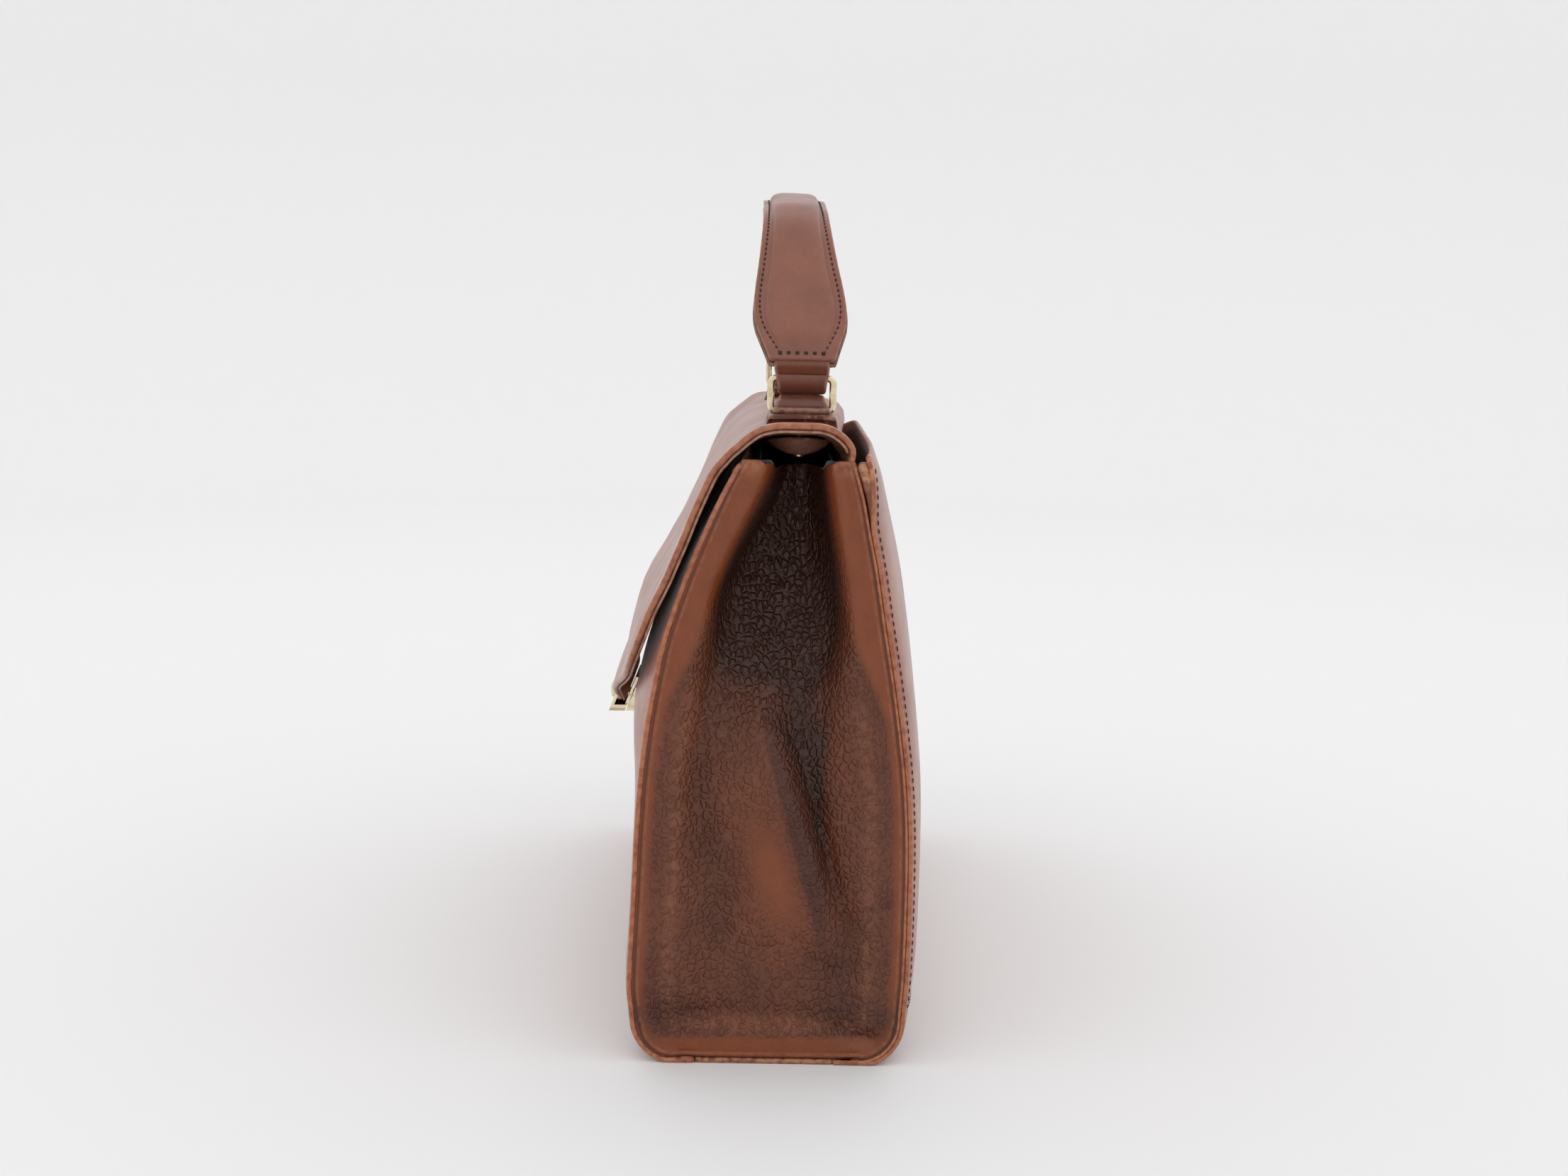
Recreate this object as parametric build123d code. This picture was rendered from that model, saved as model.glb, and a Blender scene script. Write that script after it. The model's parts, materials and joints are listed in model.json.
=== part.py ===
from build123d import *
import os
from math import acos, atan2, cos, degrees, radians, sin, sqrt, tan

# A flap-over leather briefcase. Millimetres; X along the case, -Y to the front, +Z up.
# The origin is the middle of the base, on the surface that the case stands on.

# Case body
case_length = 380.0
case_depth = 116.0
mouth_height = 260.0
straight_height = 80.0
front_lean = 44.0
back_lean = 28.0
corner_radius = 18.0
panel_leather = 2.2
board_thickness = 1.6
lining_thickness = 0.8
glue_line = 0.05
base_seam_front = 32.0
base_seam_back = 28.0
board_drop = 6.0
board_lift = 4.0
lining_drop = 1.0

# Gussets, the two end walls
gusset_leather = 2.0
gusset_setback = 5.0
seam_rim_width = 4.0
fold_depth = 24.0
fold_foot = 112.0
fold_margin = 1.0
fold_overrun = 2.0

# Slip pocket on the back
pocket_leather = 2.0
pocket_foot = 24.0
pocket_height = 258.0
pocket_belly = 2.6
pocket_gape = 10.0
pocket_end_gape = 0.1

# Flap
flap_leather = 2.4
flap_board = 1.0
flap_lining = 1.4
crown_front_radius = 33.0
crown_front_set = 17.2
crown_back_radius = 15.0
root_angle = 80.0
board_root_angle = 66.0
lining_root_angle = 68.0
flap_tip_reach = 21.6
flap_tip_height = 121.5
flap_side_height = 212.0
flap_side_gap = 1.0
tongue_fullness = 0.55
tongue_drop = 0.75
hinge_gap = 0.3
board_margin = 8.0
lining_margin = 0.5

# Handle rings and the tabs that hold them
ring_place = 122.0
ring_middle = 10.3
ring_width = 31.0
ring_bar = 3.2
ring_thickness = 3.0
ring_edge_round = 1.1
ring_corner = 4.5
ring_inner_corner = 1.0
pivot_spacing = 14.6
pivot_clearance = 0.3
ring_lift = 0.5
strap_width = 23.6
loop_leather = 3.9
tab_leather = 3.0
tab_length = 40.0
tab_width = 32.0
tab_front_angle = -60.0
tab_rivet_radius = 1.6
tab_rivet_pitch = 30.0
rivet_head_radius = 3.4
rivet_head = 0.8

# Leather-covered bar under the crown
bar_end_margin = 8.0
bar_width = 30.0
bar_depth = 8.0
bar_root_angle = 60.0

# Handle
handle_height = 380.0
handle_top_radius = 330.0
handle_top_angle = 11.4
handle_shoulder_radius = 45.0
handle_middle_width = 33.0
handle_bulge_width = 42.0
handle_bulge_place = 107.0
waist_ease = 0.45
waist_reach = 0.7
flare_ease = 0.4
flare_reach = 0.3
handle_end_width = 26.0
handle_end_clear = 1.0
sole_leather = 2.4
cover_leather = 1.8
pad_height = 6.0
pad_margin = 4.6
pad_end_place = 121.0
loop_tail = 18.0
loop_tail_radius = 2.2

# Turn clasp and its lock
clasp_height = 127.3
clasp_plate_width = 38.0
clasp_plate_rise = 16.0
clasp_plate_thickness = 1.3
clasp_back_thickness = 1.2
clasp_back_margin = 2.0
clasp_corner = 2.5
clasp_lip = 3.6
knob_radius = 6.8
knob_rise = 3.6
knob_skirt = 0.8
shaft_radius = 1.4
shaft_clearance = 0.2
tongue_length = 7.6
tongue_thickness = 2.8
tongue_depth = 2.6
lock_width = 34.0
lock_height = 12.2
lock_drop = 9.3
lock_wall = 1.4
lock_gap = 0.6
lock_play = 0.4
lock_swing_room = 1.6
lock_plate_thickness = 1.2
lock_plate_margin = 3.0
lock_rivet_pitch = 26.0
lock_rivet_radius = 1.6
lock_rivet_grip = 2.5
backing_thickness = 1.0

BIG = 600.0


def wall_radius(lean):
    """Radius of the arc on which a wall leans in by this much between its straight foot and the mouth."""
    rise = mouth_height - straight_height
    return (rise**2 + lean**2) / (2 * lean)


def wall_reach(lean, inset, height):
    """Distance of a wall's surface from the middle plane, this far inside the leather's outer face."""
    radius = wall_radius(lean)
    half = case_depth / 2
    climb = max(height - straight_height, 0.0)
    return half - radius + sqrt((radius - inset) ** 2 - climb**2)


def prism(profile, start, end):
    """A (Y, Z) profile carried along X from start to end."""
    return extrude(Plane.YZ.offset(start) * profile, amount=end - start)


def window(y_low, y_high, z_low, z_high):
    """A rectangle in the (Y, Z) section."""
    middle = Location(((y_low + y_high) / 2, (z_low + z_high) / 2))
    return middle * Rectangle(y_high - y_low, z_high - z_low)


def leaning_edge(side, lean, inset, top):
    """The curved upper edge of a wall, from its straight foot to the height top."""
    heights = (straight_height, (straight_height + top) / 2, top)
    return ThreePointArc(*[(side * wall_reach(lean, inset, z), z) for z in heights])


def case_outline(inset, top):
    """The case's end outline as a face, this far inside its outer face and open upwards to top."""
    foot = case_depth / 2 - inset
    bend = corner_radius - inset
    turn = case_depth / 2 - corner_radius
    diagonal = bend * sin(radians(45))
    edges = [leaning_edge(-1, front_lean, inset, top), leaning_edge(1, back_lean, inset, top)]
    for side in (-1, 1):
        elbow = (side * (turn + diagonal), corner_radius - diagonal)
        edges.append(Line((side * foot, straight_height), (side * foot, corner_radius)))
        edges.append(ThreePointArc((side * foot, corner_radius), elbow, (side * turn, inset)))
    edges.append(Line((-turn, inset), (turn, inset)))
    front_top = (-wall_reach(front_lean, inset, top), top)
    edges.append(Line(front_top, (wall_reach(back_lean, inset, top), top)))
    return make_face(edges)


def layer(outer, inner, top=mouth_height):
    """One wrap of material between two insets, as a (Y, Z) face open at the mouth."""
    return case_outline(outer, top) - case_outline(inner, top + glue_line)


def wall_part(wrap, side):
    """The part of a wrap that makes the front (-1) or back (1) wall, down to its base seam."""
    seam = (base_seam_front if side < 0 else base_seam_back) + glue_line
    under = window(*sorted((side * seam, side * BIG)), 0, corner_radius)
    wall = window(*sorted((0, side * BIG)), corner_radius, mouth_height)
    return wrap & (under + wall)


board_inset = panel_leather + glue_line
lining_inset = board_inset + board_thickness + glue_line
inner_inset = lining_inset + lining_thickness
gusset_face = case_length / 2 - gusset_setback
gusset_back = gusset_face - gusset_leather
inner_length = 2 * (gusset_back - glue_line)
hinge_y = wall_reach(back_lean, panel_leather / 2, mouth_height)
hinge_z = mouth_height + flap_leather / 2 + hinge_gap


def panels():
    """Outer leather: front and back wrap the corners to their seams with the base panel."""
    skin = layer(0, panel_leather)
    half = case_length / 2
    front, back = wall_part(skin, -1), wall_part(skin, 1)
    base = skin & window(-base_seam_front, base_seam_back, 0, corner_radius)
    return {
        "front_panel": prism(front, -half, half),
        "back_panel": prism(back, -half, half),
        "base_panel": prism(base, -half, half),
    }


def boards():
    """Stiffener boards glued behind the front, back and base leather."""
    core = layer(board_inset, board_inset + board_thickness)
    foot, head = corner_radius + board_lift, mouth_height - board_drop
    turn = case_depth / 2 - corner_radius
    half = inner_length / 2
    return {
        "front_board": prism(core & window(-BIG, 0, foot, head), -half, half),
        "back_board": prism(core & window(0, BIG, foot, head), -half, half),
        "base_board": prism(core & window(-turn, turn, 0, corner_radius), -half, half),
    }


def linings():
    """Fabric lining of the front, back and base, meeting at the base seams."""
    cloth = layer(lining_inset, inner_inset, mouth_height - lining_drop)
    half = inner_length / 2
    front, back = wall_part(cloth, -1), wall_part(cloth, 1)
    base = cloth & window(-base_seam_front, base_seam_back, 0, corner_radius)
    return {
        "front_lining": prism(front, -half, half),
        "back_lining": prism(back, -half, half),
        "base_lining": prism(base, -half, half),
    }


def facet(*corners):
    """A flat face with these corners."""
    return make_face(Polyline(*corners, close=True))


def fold_wedge(face_x):
    """The hollow that the gusset's inward fold makes, from its foot to past the mouth."""
    inset = panel_leather + seam_rim_width + fold_margin
    front = -wall_reach(front_lean, inset, mouth_height)
    back = wall_reach(back_lean, inset, mouth_height)
    middle = (front + back) / 2
    stretch = 1 + fold_overrun / (mouth_height - fold_foot)
    foot = Vector(face_x, middle, fold_foot)
    crease = Vector(face_x - fold_depth, middle, mouth_height)
    top = [Vector(face_x, front, mouth_height), Vector(face_x, back, mouth_height), crease]
    a, b, c = [foot + (corner - foot) * stretch for corner in top]
    return Solid(Shell([facet(foot, a, b), facet(foot, b, c), facet(foot, c, a), facet(a, c, b)]))


def folded_sheet(face_x, thickness, inset):
    """An end wall of this thickness behind face_x, folded inwards towards the mouth."""
    outline = case_outline(inset, mouth_height)
    plate = prism(outline, face_x - thickness, face_x)
    fold = fold_wedge(face_x)
    pushed = Location((-thickness, 0, 0)) * fold
    trim = prism(outline, face_x - fold_depth - 2 * thickness, face_x)
    return ((plate + pushed) - fold) & trim


def gussets():
    """End walls with a turned rim sewn to the panels, and their linings."""
    inset = panel_leather + glue_line
    rim = layer(inset, inset + seam_rim_width)
    wall = folded_sheet(gusset_face, gusset_leather, inset)
    right = wall + prism(rim, gusset_back, case_length / 2)
    lining = folded_sheet(gusset_back - glue_line, lining_thickness, inner_inset + glue_line)
    return {
        "gusset_right": right,
        "gusset_left": mirror(right, about=Plane.YZ),
        "gusset_lining_right": lining,
        "gusset_lining_left": mirror(lining, about=Plane.YZ),
    }


def pocket_section(belly, gape, thickness, lift):
    """The pocket panel's section where it stands off the back by belly below and gape at its rim."""
    start = case_depth / 2 + glue_line + lift
    waist = case_depth / 2 + glue_line + belly + lift
    middle = (straight_height + pocket_height) / 2
    reach = [wall_reach(back_lean, -glue_line, z) + lift for z in (middle, pocket_height)]
    swell = (belly + gape) / 2 + belly / 2
    inner = [
        (start, pocket_foot),
        (waist, straight_height),
        (reach[0] + swell, middle),
        (reach[1] + gape, pocket_height),
    ]
    outer = [(y + thickness, z) for y, z in inner]
    return make_face([
        Line(inner[0], inner[1]),
        ThreePointArc(*inner[1:]),
        Line(inner[3], outer[3]),
        ThreePointArc(*reversed(outer[1:])),
        Line(outer[1], outer[0]),
        Line(outer[0], inner[0]),
    ])


def pocket_layer(thickness, lift):
    """A pocket sheet that is sewn down at both ends and stands off the back between them."""
    half = case_length / 2
    ends = [(side * half, pocket_end_gape, pocket_end_gape) for side in (-1, 1)]
    places = [ends[0], (0, pocket_belly, pocket_gape), ends[1]]
    sections = [Plane.YZ.offset(x) * pocket_section(b, g, thickness, lift) for x, b, g in places]
    return loft(sections)


def pocket():
    """Slip pocket on the back: a lined leather sheet with an open, gaping rim."""
    return {
        "pocket_lining": pocket_layer(lining_thickness, 0.0),
        "pocket_panel": pocket_layer(pocket_leather, lining_thickness + glue_line),
    }


back_centre = (
    hinge_y - (crown_back_radius - flap_leather / 2) * sin(radians(root_angle)),
    hinge_z - (crown_back_radius - flap_leather / 2) * cos(radians(root_angle)),
)
crown_height = back_centre[1] + crown_back_radius
front_centre = (
    crown_front_set - wall_reach(front_lean, 0, mouth_height),
    crown_height - crown_front_radius,
)
flap_width = case_length - 2 * flap_side_gap


def around(centre, radius, angle):
    """A point on a circle in (Y, Z), its angle turned from +Z towards +Y."""
    return (centre[0] + radius * sin(radians(angle)), centre[1] + radius * cos(radians(angle)))


def tangent_slope():
    """Angle from -Z of the flap's straight slope, from the crown's front arc to the flap's tip."""
    dy = -case_depth / 2 - flap_tip_reach - front_centre[0]
    dz = flap_tip_height - front_centre[1]
    return degrees(atan2(dy, dz) + acos(crown_front_radius / sqrt(dy**2 + dz**2))) + 90


flap_slope = tangent_slope()


def slope_start(depth):
    """Where the crown's front arc runs into the straight slope, this deep in the flap."""
    return around(front_centre, crown_front_radius - depth, flap_slope - 90)


def slope_point(depth, height):
    """The point on the flap's slope at this height, this deep in the flap."""
    start = slope_start(depth)
    return (start[0] - (start[1] - height) * tan(radians(flap_slope)), height)


def crown_edges(depth, back_angle, front_angle):
    """The crown at one depth, from a point on its back arc to a point on its front arc."""
    back, front = crown_back_radius - depth, crown_front_radius - depth
    return [
        ThreePointArc(*[around(back_centre, back, back_angle * f) for f in (1, 0.5, 0)]),
        Line(around(back_centre, back, 0), around(front_centre, front, 0)),
        ThreePointArc(*[around(front_centre, front, front_angle * f) for f in (0, 0.5, 1)]),
    ]


def crown_band(outer, inner, back_angle, front_angle):
    """A closed band over the crown between two depths."""
    ends = [
        Line(around(c, r - outer, a), around(c, r - inner, a))
        for c, r, a in (
            (back_centre, crown_back_radius, back_angle),
            (front_centre, crown_front_radius, front_angle),
        )
    ]
    return make_face(
        crown_edges(outer, back_angle, front_angle)
        + crown_edges(inner, back_angle, front_angle)
        + ends
    )


def flap_band(outer, inner, back_angle):
    """A closed band over the crown and down the whole slope between two depths."""
    low = flap_tip_height - flap_depth
    crown = crown_band(outer, inner, back_angle, flap_slope - 90)
    far, near = [(slope_start(depth), slope_point(depth, low)) for depth in (outer, inner)]
    return crown + make_face(Polyline(*far, *reversed(near), close=True))


def flap_plan(margin):
    """The flap's tongue-shaped outline seen from the front, this far inside its edge."""
    half, tip = flap_width / 2 - margin, flap_tip_height + margin
    side, top = flap_side_height, crown_height + flap_leather
    drop = (side - tip) * tongue_drop
    edges = [Line((-half, top), (half, top))]
    for way in (1, -1):
        corner = [(way * half, side - drop), (way * half * tongue_fullness, tip)]
        edges.append(Line((way * half, top), (way * half, side)))
        edges.append(Bezier((way * half, side), *corner, (0, tip)))
    return extrude(Plane.XZ * make_face(edges), amount=BIG / 2, both=True)


def flap_layer(outer, inner, back_angle, margin):
    """One sheet of the flap between two depths, cut to the tongue this far inside its edge."""
    half = flap_width / 2 - margin
    return prism(flap_band(outer, inner, back_angle), -half, half) & flap_plan(margin)


def clasp_frame(depth):
    """Plane on the flap's slope at the clasp: x along the case, y up the slope, z outwards."""
    y, z = slope_point(0, clasp_height)
    lean = radians(flap_slope)
    outward = Vector(0, -cos(lean), sin(lean))
    origin = Vector(0, y, z) - outward * depth
    return Plane(origin=origin, x_dir=(1, 0, 0), z_dir=outward)


flap_depth = flap_leather + flap_board + flap_lining + 2 * glue_line


def rod(plane, radius, low, high):
    """A round bar along the plane's normal between two heights above it."""
    return extrude(plane.offset(low) * Circle(radius), amount=high - low)


def clasp_hole(extra):
    """A bar through the flap round the clasp's shaft."""
    return rod(clasp_frame(0), shaft_radius + extra, -2 * flap_depth, flap_depth)


def quad(near, far, low, high):
    """The stretch of the slope between two depths and two heights."""
    return make_face(
        Polyline(
            slope_point(near, low),
            slope_point(far, low),
            slope_point(far, high),
            slope_point(near, high),
            close=True,
        )
    )


crown_middle = (front_centre[0] + back_centre[0]) / 2


def upright(x, y, radius, low, high):
    """A round bar along Z."""
    return extrude(Plane.XY.offset(low) * Pos(x, y) * Circle(radius), amount=high - low)


def tab_rivet_axes():
    """(X, Y) of the rivets that hold each ring tab to the bar under the crown."""
    ends = [side * ring_place + way * tab_rivet_pitch / 2 for side in (-1, 1) for way in (-1, 1)]
    return [(x, crown_middle) for x in ends]


bar_foot = crown_height - flap_depth - glue_line - bar_depth


def rivet_holes(extra):
    """Upright bars round the tab rivets' shanks."""
    low, high = bar_foot - rivet_head, crown_height + rivet_head
    return [upright(x, y, tab_rivet_radius + extra, low, high) for x, y in tab_rivet_axes()]


def rivet_heads(low, high, extra):
    """Discs round the tab rivets between two heights."""
    return [upright(x, y, rivet_head_radius + extra, low, high) for x, y in tab_rivet_axes()]


def join(first, *others):
    """One solid from pieces that run into each other."""
    return first.fuse(*others).solid()


def tab_rivets():
    """Rivets whose upper heads lie under the tabs, with their lower heads on the bar."""
    shanks = [upright(x, y, tab_rivet_radius, bar_foot, crown_height) for x, y in tab_rivet_axes()]
    top = crown_height + glue_line
    upper = rivet_heads(crown_height, top + rivet_head, 0)
    lower = rivet_heads(bar_foot - glue_line - rivet_head, bar_foot, 0)
    return Compound([join(*pieces) for pieces in zip(shanks, upper, lower)])


def flap():
    """Flap leather, its board and its lining, pierced for the clasp's shaft and the rivets."""
    board_top = flap_leather + glue_line
    lining_top = board_top + flap_board + glue_line
    cuts = [clasp_hole(shaft_clearance)] + rivet_holes(glue_line)
    bead = Pos(hinge_y, hinge_z) * Circle(flap_leather / 2)
    half = flap_width / 2
    root = prism(bead, -half, half)
    layers = {
        "flap_leather": flap_layer(0, flap_leather, root_angle, 0) + root,
        "flap_board": flap_layer(board_top, board_top + flap_board, board_root_angle, board_margin),
        "flap_lining": flap_layer(lining_top, flap_depth, lining_root_angle, lining_margin),
    }
    return {name: solid - cuts for name, solid in layers.items()}


def crown_bar():
    """The lens-shaped, leather-covered bar under the crown that the tab rivets pull against."""
    top = flap_depth + glue_line
    under = crown_band(top, top + bar_depth + glue_line, bar_root_angle, tab_front_angle)
    bend = ((bar_width / 2) ** 2 + bar_depth**2) / (2 * bar_depth)
    lens = Pos(crown_middle, crown_height - top - bar_depth + bend) * Circle(bend)
    half = ring_place + tab_length / 2 + bar_end_margin
    bar = prism(under & lens, -half, half)
    return bar - rivet_holes(glue_line)


bar_half_diagonal = (
    sqrt((ring_bar / 2 - ring_edge_round) ** 2 + (ring_thickness / 2 - ring_edge_round) ** 2)
    + ring_edge_round
)
loop_bore = bar_half_diagonal + pivot_clearance
loop_radius = loop_bore + loop_leather
lower_pivot = crown_height + tab_leather + ring_bar / 2 + ring_lift
upper_pivot = lower_pivot + pivot_spacing


def along_y(profile, width, middle):
    """An (X, Z) profile carried along Y, centred on middle."""
    return extrude(Plane.XZ.offset(-middle) * profile, amount=width / 2, both=True)


def ring(x):
    """A flat rectangular ring with rounded corners and eased edges."""
    middle = Pos(ring_middle, (lower_pivot + upper_pivot) / 2)
    height = pivot_spacing + ring_bar
    outside = RectangleRounded(ring_width, height, ring_corner)
    inside = RectangleRounded(ring_width - 2 * ring_bar, height - 2 * ring_bar, ring_inner_corner)
    frame = middle * (outside - inside)
    half = ring_thickness / 2
    solid = prism(frame, x - half, x + half)
    ends = solid.faces().sort_by(Axis.X)
    edges = ends[0].edges() + ends[-1].edges()
    return fillet(edges, ring_edge_round)


def tab(x):
    """A leather patch on the crown with the loop that holds a ring's lower bar."""
    half = tab_length / 2
    patch = crown_band(-glue_line - tab_leather, -glue_line, root_angle, tab_front_angle)
    above = crown_band(-2 * pivot_spacing, -glue_line, root_angle, tab_front_angle)
    strip = window(ring_middle - tab_width / 2, ring_middle + tab_width / 2, 0, BIG)
    base = prism(patch & strip, x - half, x + half)
    loop = Pos(x, lower_pivot) * Circle(loop_radius)
    neck = Pos(x, lower_pivot - loop_radius) * Rectangle(2 * loop_radius, 2 * loop_radius)
    stem = along_y(loop + neck, strap_width, ring_middle) & prism(above, x - half, x + half)
    bore = along_y(Pos(x, lower_pivot) * Circle(loop_bore), 2 * ring_width, ring_middle)
    heads = rivet_heads(crown_height, crown_height + rivet_head + 2 * glue_line, glue_line)
    return base + stem - bore - heads


def handle_shoulder():
    """Centre of the arc that joins the handle's top to its right leg."""
    reach = handle_top_radius - handle_shoulder_radius
    turn = radians(handle_top_angle)
    return (reach * sin(turn), sole_height - handle_top_radius + reach * cos(turn))


sole_height = handle_height - sole_leather - pad_height - cover_leather
shoulder_centre = handle_shoulder()


def leg_angle():
    """Angle from +Z of the leg's outward normal, so that the leg clears the ring's loop."""
    dx, dz = ring_place - shoulder_centre[0], upper_pivot - shoulder_centre[1]
    distance = sqrt(dx**2 + dz**2)
    toward = degrees(atan2(dx, dz))
    return toward - degrees(acos((handle_shoulder_radius - loop_radius - glue_line) / distance))


leg_turn = leg_angle()
leg_out = (sin(radians(leg_turn)), cos(radians(leg_turn)))
leg_down = (leg_out[1], -leg_out[0])
leg_root = around(shoulder_centre, handle_shoulder_radius, leg_turn)
leg_length = (
    (ring_place - leg_root[0]) * leg_down[0] + (upper_pivot - leg_root[1]) * leg_down[1]
)


def leg_point(rise, along):
    """A point on the right leg: rise above its underside, along down from the shoulder."""
    return (
        leg_root[0] + leg_out[0] * rise + leg_down[0] * along,
        leg_root[1] + leg_out[1] * rise + leg_down[1] * along,
    )


def arch_edges(rise, leg):
    """The handle's arch at one height above its underside, from leg end to leg end."""
    top = (0, sole_height - handle_top_radius)
    angle = handle_top_angle
    radius, bend = handle_top_radius + rise, handle_shoulder_radius + rise
    edges = [ThreePointArc(*[around(top, radius, angle * f) for f in (-1, 0, 1)])]
    middle = (angle + leg_turn) / 2
    for side in (-1, 1):
        turn = [around(shoulder_centre, bend, a) for a in (angle, middle, leg_turn)]
        ends = [turn[2], leg_point(rise, leg)]
        edges.append(ThreePointArc(*[(side * x, z) for x, z in turn]))
        edges.append(Line(*[(side * x, z) for x, z in ends]))
    return edges


def arch_band(low, high, leg):
    """A closed band of the handle's arch between two heights above its underside."""
    ends = [
        Line(*[(side * x, z) for x, z in (leg_point(low, leg), leg_point(high, leg))])
        for side in (-1, 1)
    ]
    return make_face(arch_edges(low, leg) + arch_edges(high, leg) + ends)


def handle_plan(margin, end):
    """The handle seen from above: waisted in the middle, widest near its ends."""
    middle, bulge = handle_middle_width / 2 - margin, handle_bulge_width / 2 - margin
    tip, place = handle_end_width / 2 - margin / 2, handle_bulge_place
    run = end - place
    ease, reach = place * waist_ease, place * waist_reach
    waist = [(0, middle), (ease, middle), (reach, bulge), (place, bulge)]
    ease, reach = place + run * flare_ease, end - run * flare_reach
    flare = [(place, bulge), (ease, bulge), (reach, tip), (end, tip)]
    edges = []
    for side in (-1, 1):
        for way in (-1, 1):
            for points in waist, flare:
                edges.append(Bezier(*[(side * x, way * y) for x, y in points]))
        edges.append(Line((side * end, tip), (side * end, -tip)))
    return extrude(Plane.XY * Pos(0, ring_middle) * make_face(edges), amount=BIG)


def arch(low, high, leg, margin, end):
    """A handle layer: an arch band cut to the handle's plan."""
    return along_y(arch_band(low, high, leg), BIG, ring_middle) & handle_plan(margin, end)


def handle():
    """Sole, filler and stitched cover of the handle, and the loops at its two ends."""
    leg = leg_length - handle_end_clear
    tip = leg_point(sole_leather + cover_leather, leg)[0] + sole_leather
    base = sole_leather + glue_line
    top = sole_leather + cover_leather + pad_height
    hump = arch(base, top, leg, pad_margin, pad_end_place)
    crest, edge, end = top - cover_leather, pad_margin + cover_leather, pad_end_place - cover_leather
    filler = arch(base, crest, leg, edge, end)
    room = arch(0, crest + glue_line, leg, edge - glue_line, end + glue_line)
    flange = arch(base, base + cover_leather, leg, 0, tip)
    return {
        "handle_sole": arch(0, sole_leather, leg, 0, tip),
        "handle_filler": filler,
        "handle_cover": (flange + hump) - room,
        "handle_loop_right": handle_loop(1),
        "handle_loop_left": handle_loop(-1),
    }


def handle_loop(side):
    """The folded strap that carries the handle's end on a ring's upper bar."""
    tail = leg_point(-glue_line - loop_tail_radius, leg_length - loop_tail)
    big = Pos(ring_place, upper_pivot) * Circle(loop_radius)
    small = Pos(*tail) * Circle(loop_tail_radius)
    drop = make_hull((big + small).edges())
    bore = Pos(ring_place, upper_pivot) * Circle(loop_bore)
    loop = along_y(drop - bore, strap_width, ring_middle)
    return loop if side > 0 else mirror(loop, about=Plane.YZ)


def clasp():
    """Front plate with its lip under the flap's edge, back plate, turn knob and its tongue."""
    half = clasp_plate_width / 2
    tip = flap_tip_height - glue_line
    top = flap_tip_height + clasp_plate_rise
    outer = -glue_line - clasp_plate_thickness
    inner = flap_depth + glue_line + clasp_back_thickness
    face = quad(outer, -glue_line, tip - clasp_lip, top)
    lip = quad(outer, inner, tip - clasp_lip, tip)
    rounded = Pos(0, (tip - clasp_lip + top) / 2) * RectangleRounded(
        clasp_plate_width, top - tip + clasp_lip, clasp_corner
    )
    plan = extrude(Plane.XZ * rounded, amount=BIG / 2, both=True)
    hole = clasp_hole(shaft_clearance)
    front = (prism(face + lip, -half, half) & plan) - hole
    back = quad(flap_depth + glue_line, inner, tip + glue_line, top - clasp_back_margin)
    back_half = half - clasp_back_margin
    return {
        "clasp_front_plate": front,
        "clasp_back_plate": prism(back, -back_half, back_half) - hole,
        "clasp_knob": knob(),
    }


lock_face = flap_depth + glue_line + clasp_back_thickness + lock_gap


def knob():
    """The domed turn knob with its shaft and the flat tongue that enters the lock."""
    plane = clasp_frame(0)
    seat = glue_line + clasp_plate_thickness + shaft_clearance
    tongue_top = -(lock_face + lock_wall + lock_play)
    skirt = rod(plane, knob_radius, seat, seat + knob_skirt)
    rise = knob_rise - knob_skirt
    ball = (knob_radius**2 + rise**2) / (2 * rise)
    centre = plane.offset(seat + knob_skirt + rise - ball)
    dome = (centre * Sphere(ball)) & rod(plane, knob_radius, seat + knob_skirt, seat + 2 * knob_rise)
    shaft = rod(plane, shaft_radius, tongue_top, seat + knob_skirt)
    blade = extrude(
        plane.offset(tongue_top - tongue_depth) * Rectangle(tongue_length, tongue_thickness),
        amount=tongue_depth,
    )
    return skirt + dome + shaft + blade


def lock_top():
    """Height of the lock's top face."""
    return clasp_height + lock_height - lock_drop


def lock_rivet_plane(side):
    """Plane on the front panel's face at one of the lock's rivets, facing into the case."""
    height = lock_top() - lock_height / 2
    climb = (height - straight_height) / wall_radius(front_lean)
    inward = Vector(0, sqrt(1 - climb**2), -climb)
    place = Vector(side * lock_rivet_pitch / 2, -wall_reach(front_lean, 0, height), height)
    return Plane(origin=place, x_dir=(1, 0, 0), z_dir=inward)


def lock_bars(radius, start, end):
    """Round bars square to the front panel at the lock's two rivets."""
    return [rod(lock_rivet_plane(side), radius, start, end) for side in (-1, 1)]


def lock_body(low, top):
    """The lock's block with the slot that the tongue enters and the room it turns in."""
    half = lock_width / 2
    block = make_face(
        Polyline(
            slope_point(lock_face, low), slope_point(lock_face, top), (0, top), (0, low), close=True
        )
    )
    body = prism(block - case_outline(-lock_plate_thickness - 2 * glue_line, mouth_height), -half, half)
    plane = clasp_frame(lock_face)
    depth, reach = tongue_depth + 2 * lock_play, tongue_length + 2 * lock_play
    cavity = extrude(plane.offset(-lock_wall - depth) * Rectangle(reach, reach), amount=depth)
    below, above = tongue_thickness / 2 + lock_play, tongue_thickness / 2 + lock_swing_room
    mouth = Pos(0, (above - below) / 2) * Rectangle(reach, above + below)
    slot = extrude(plane.offset(-lock_wall - lock_play) * mouth, amount=lock_wall + 2 * lock_play)
    return body - cavity - slot


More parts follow.
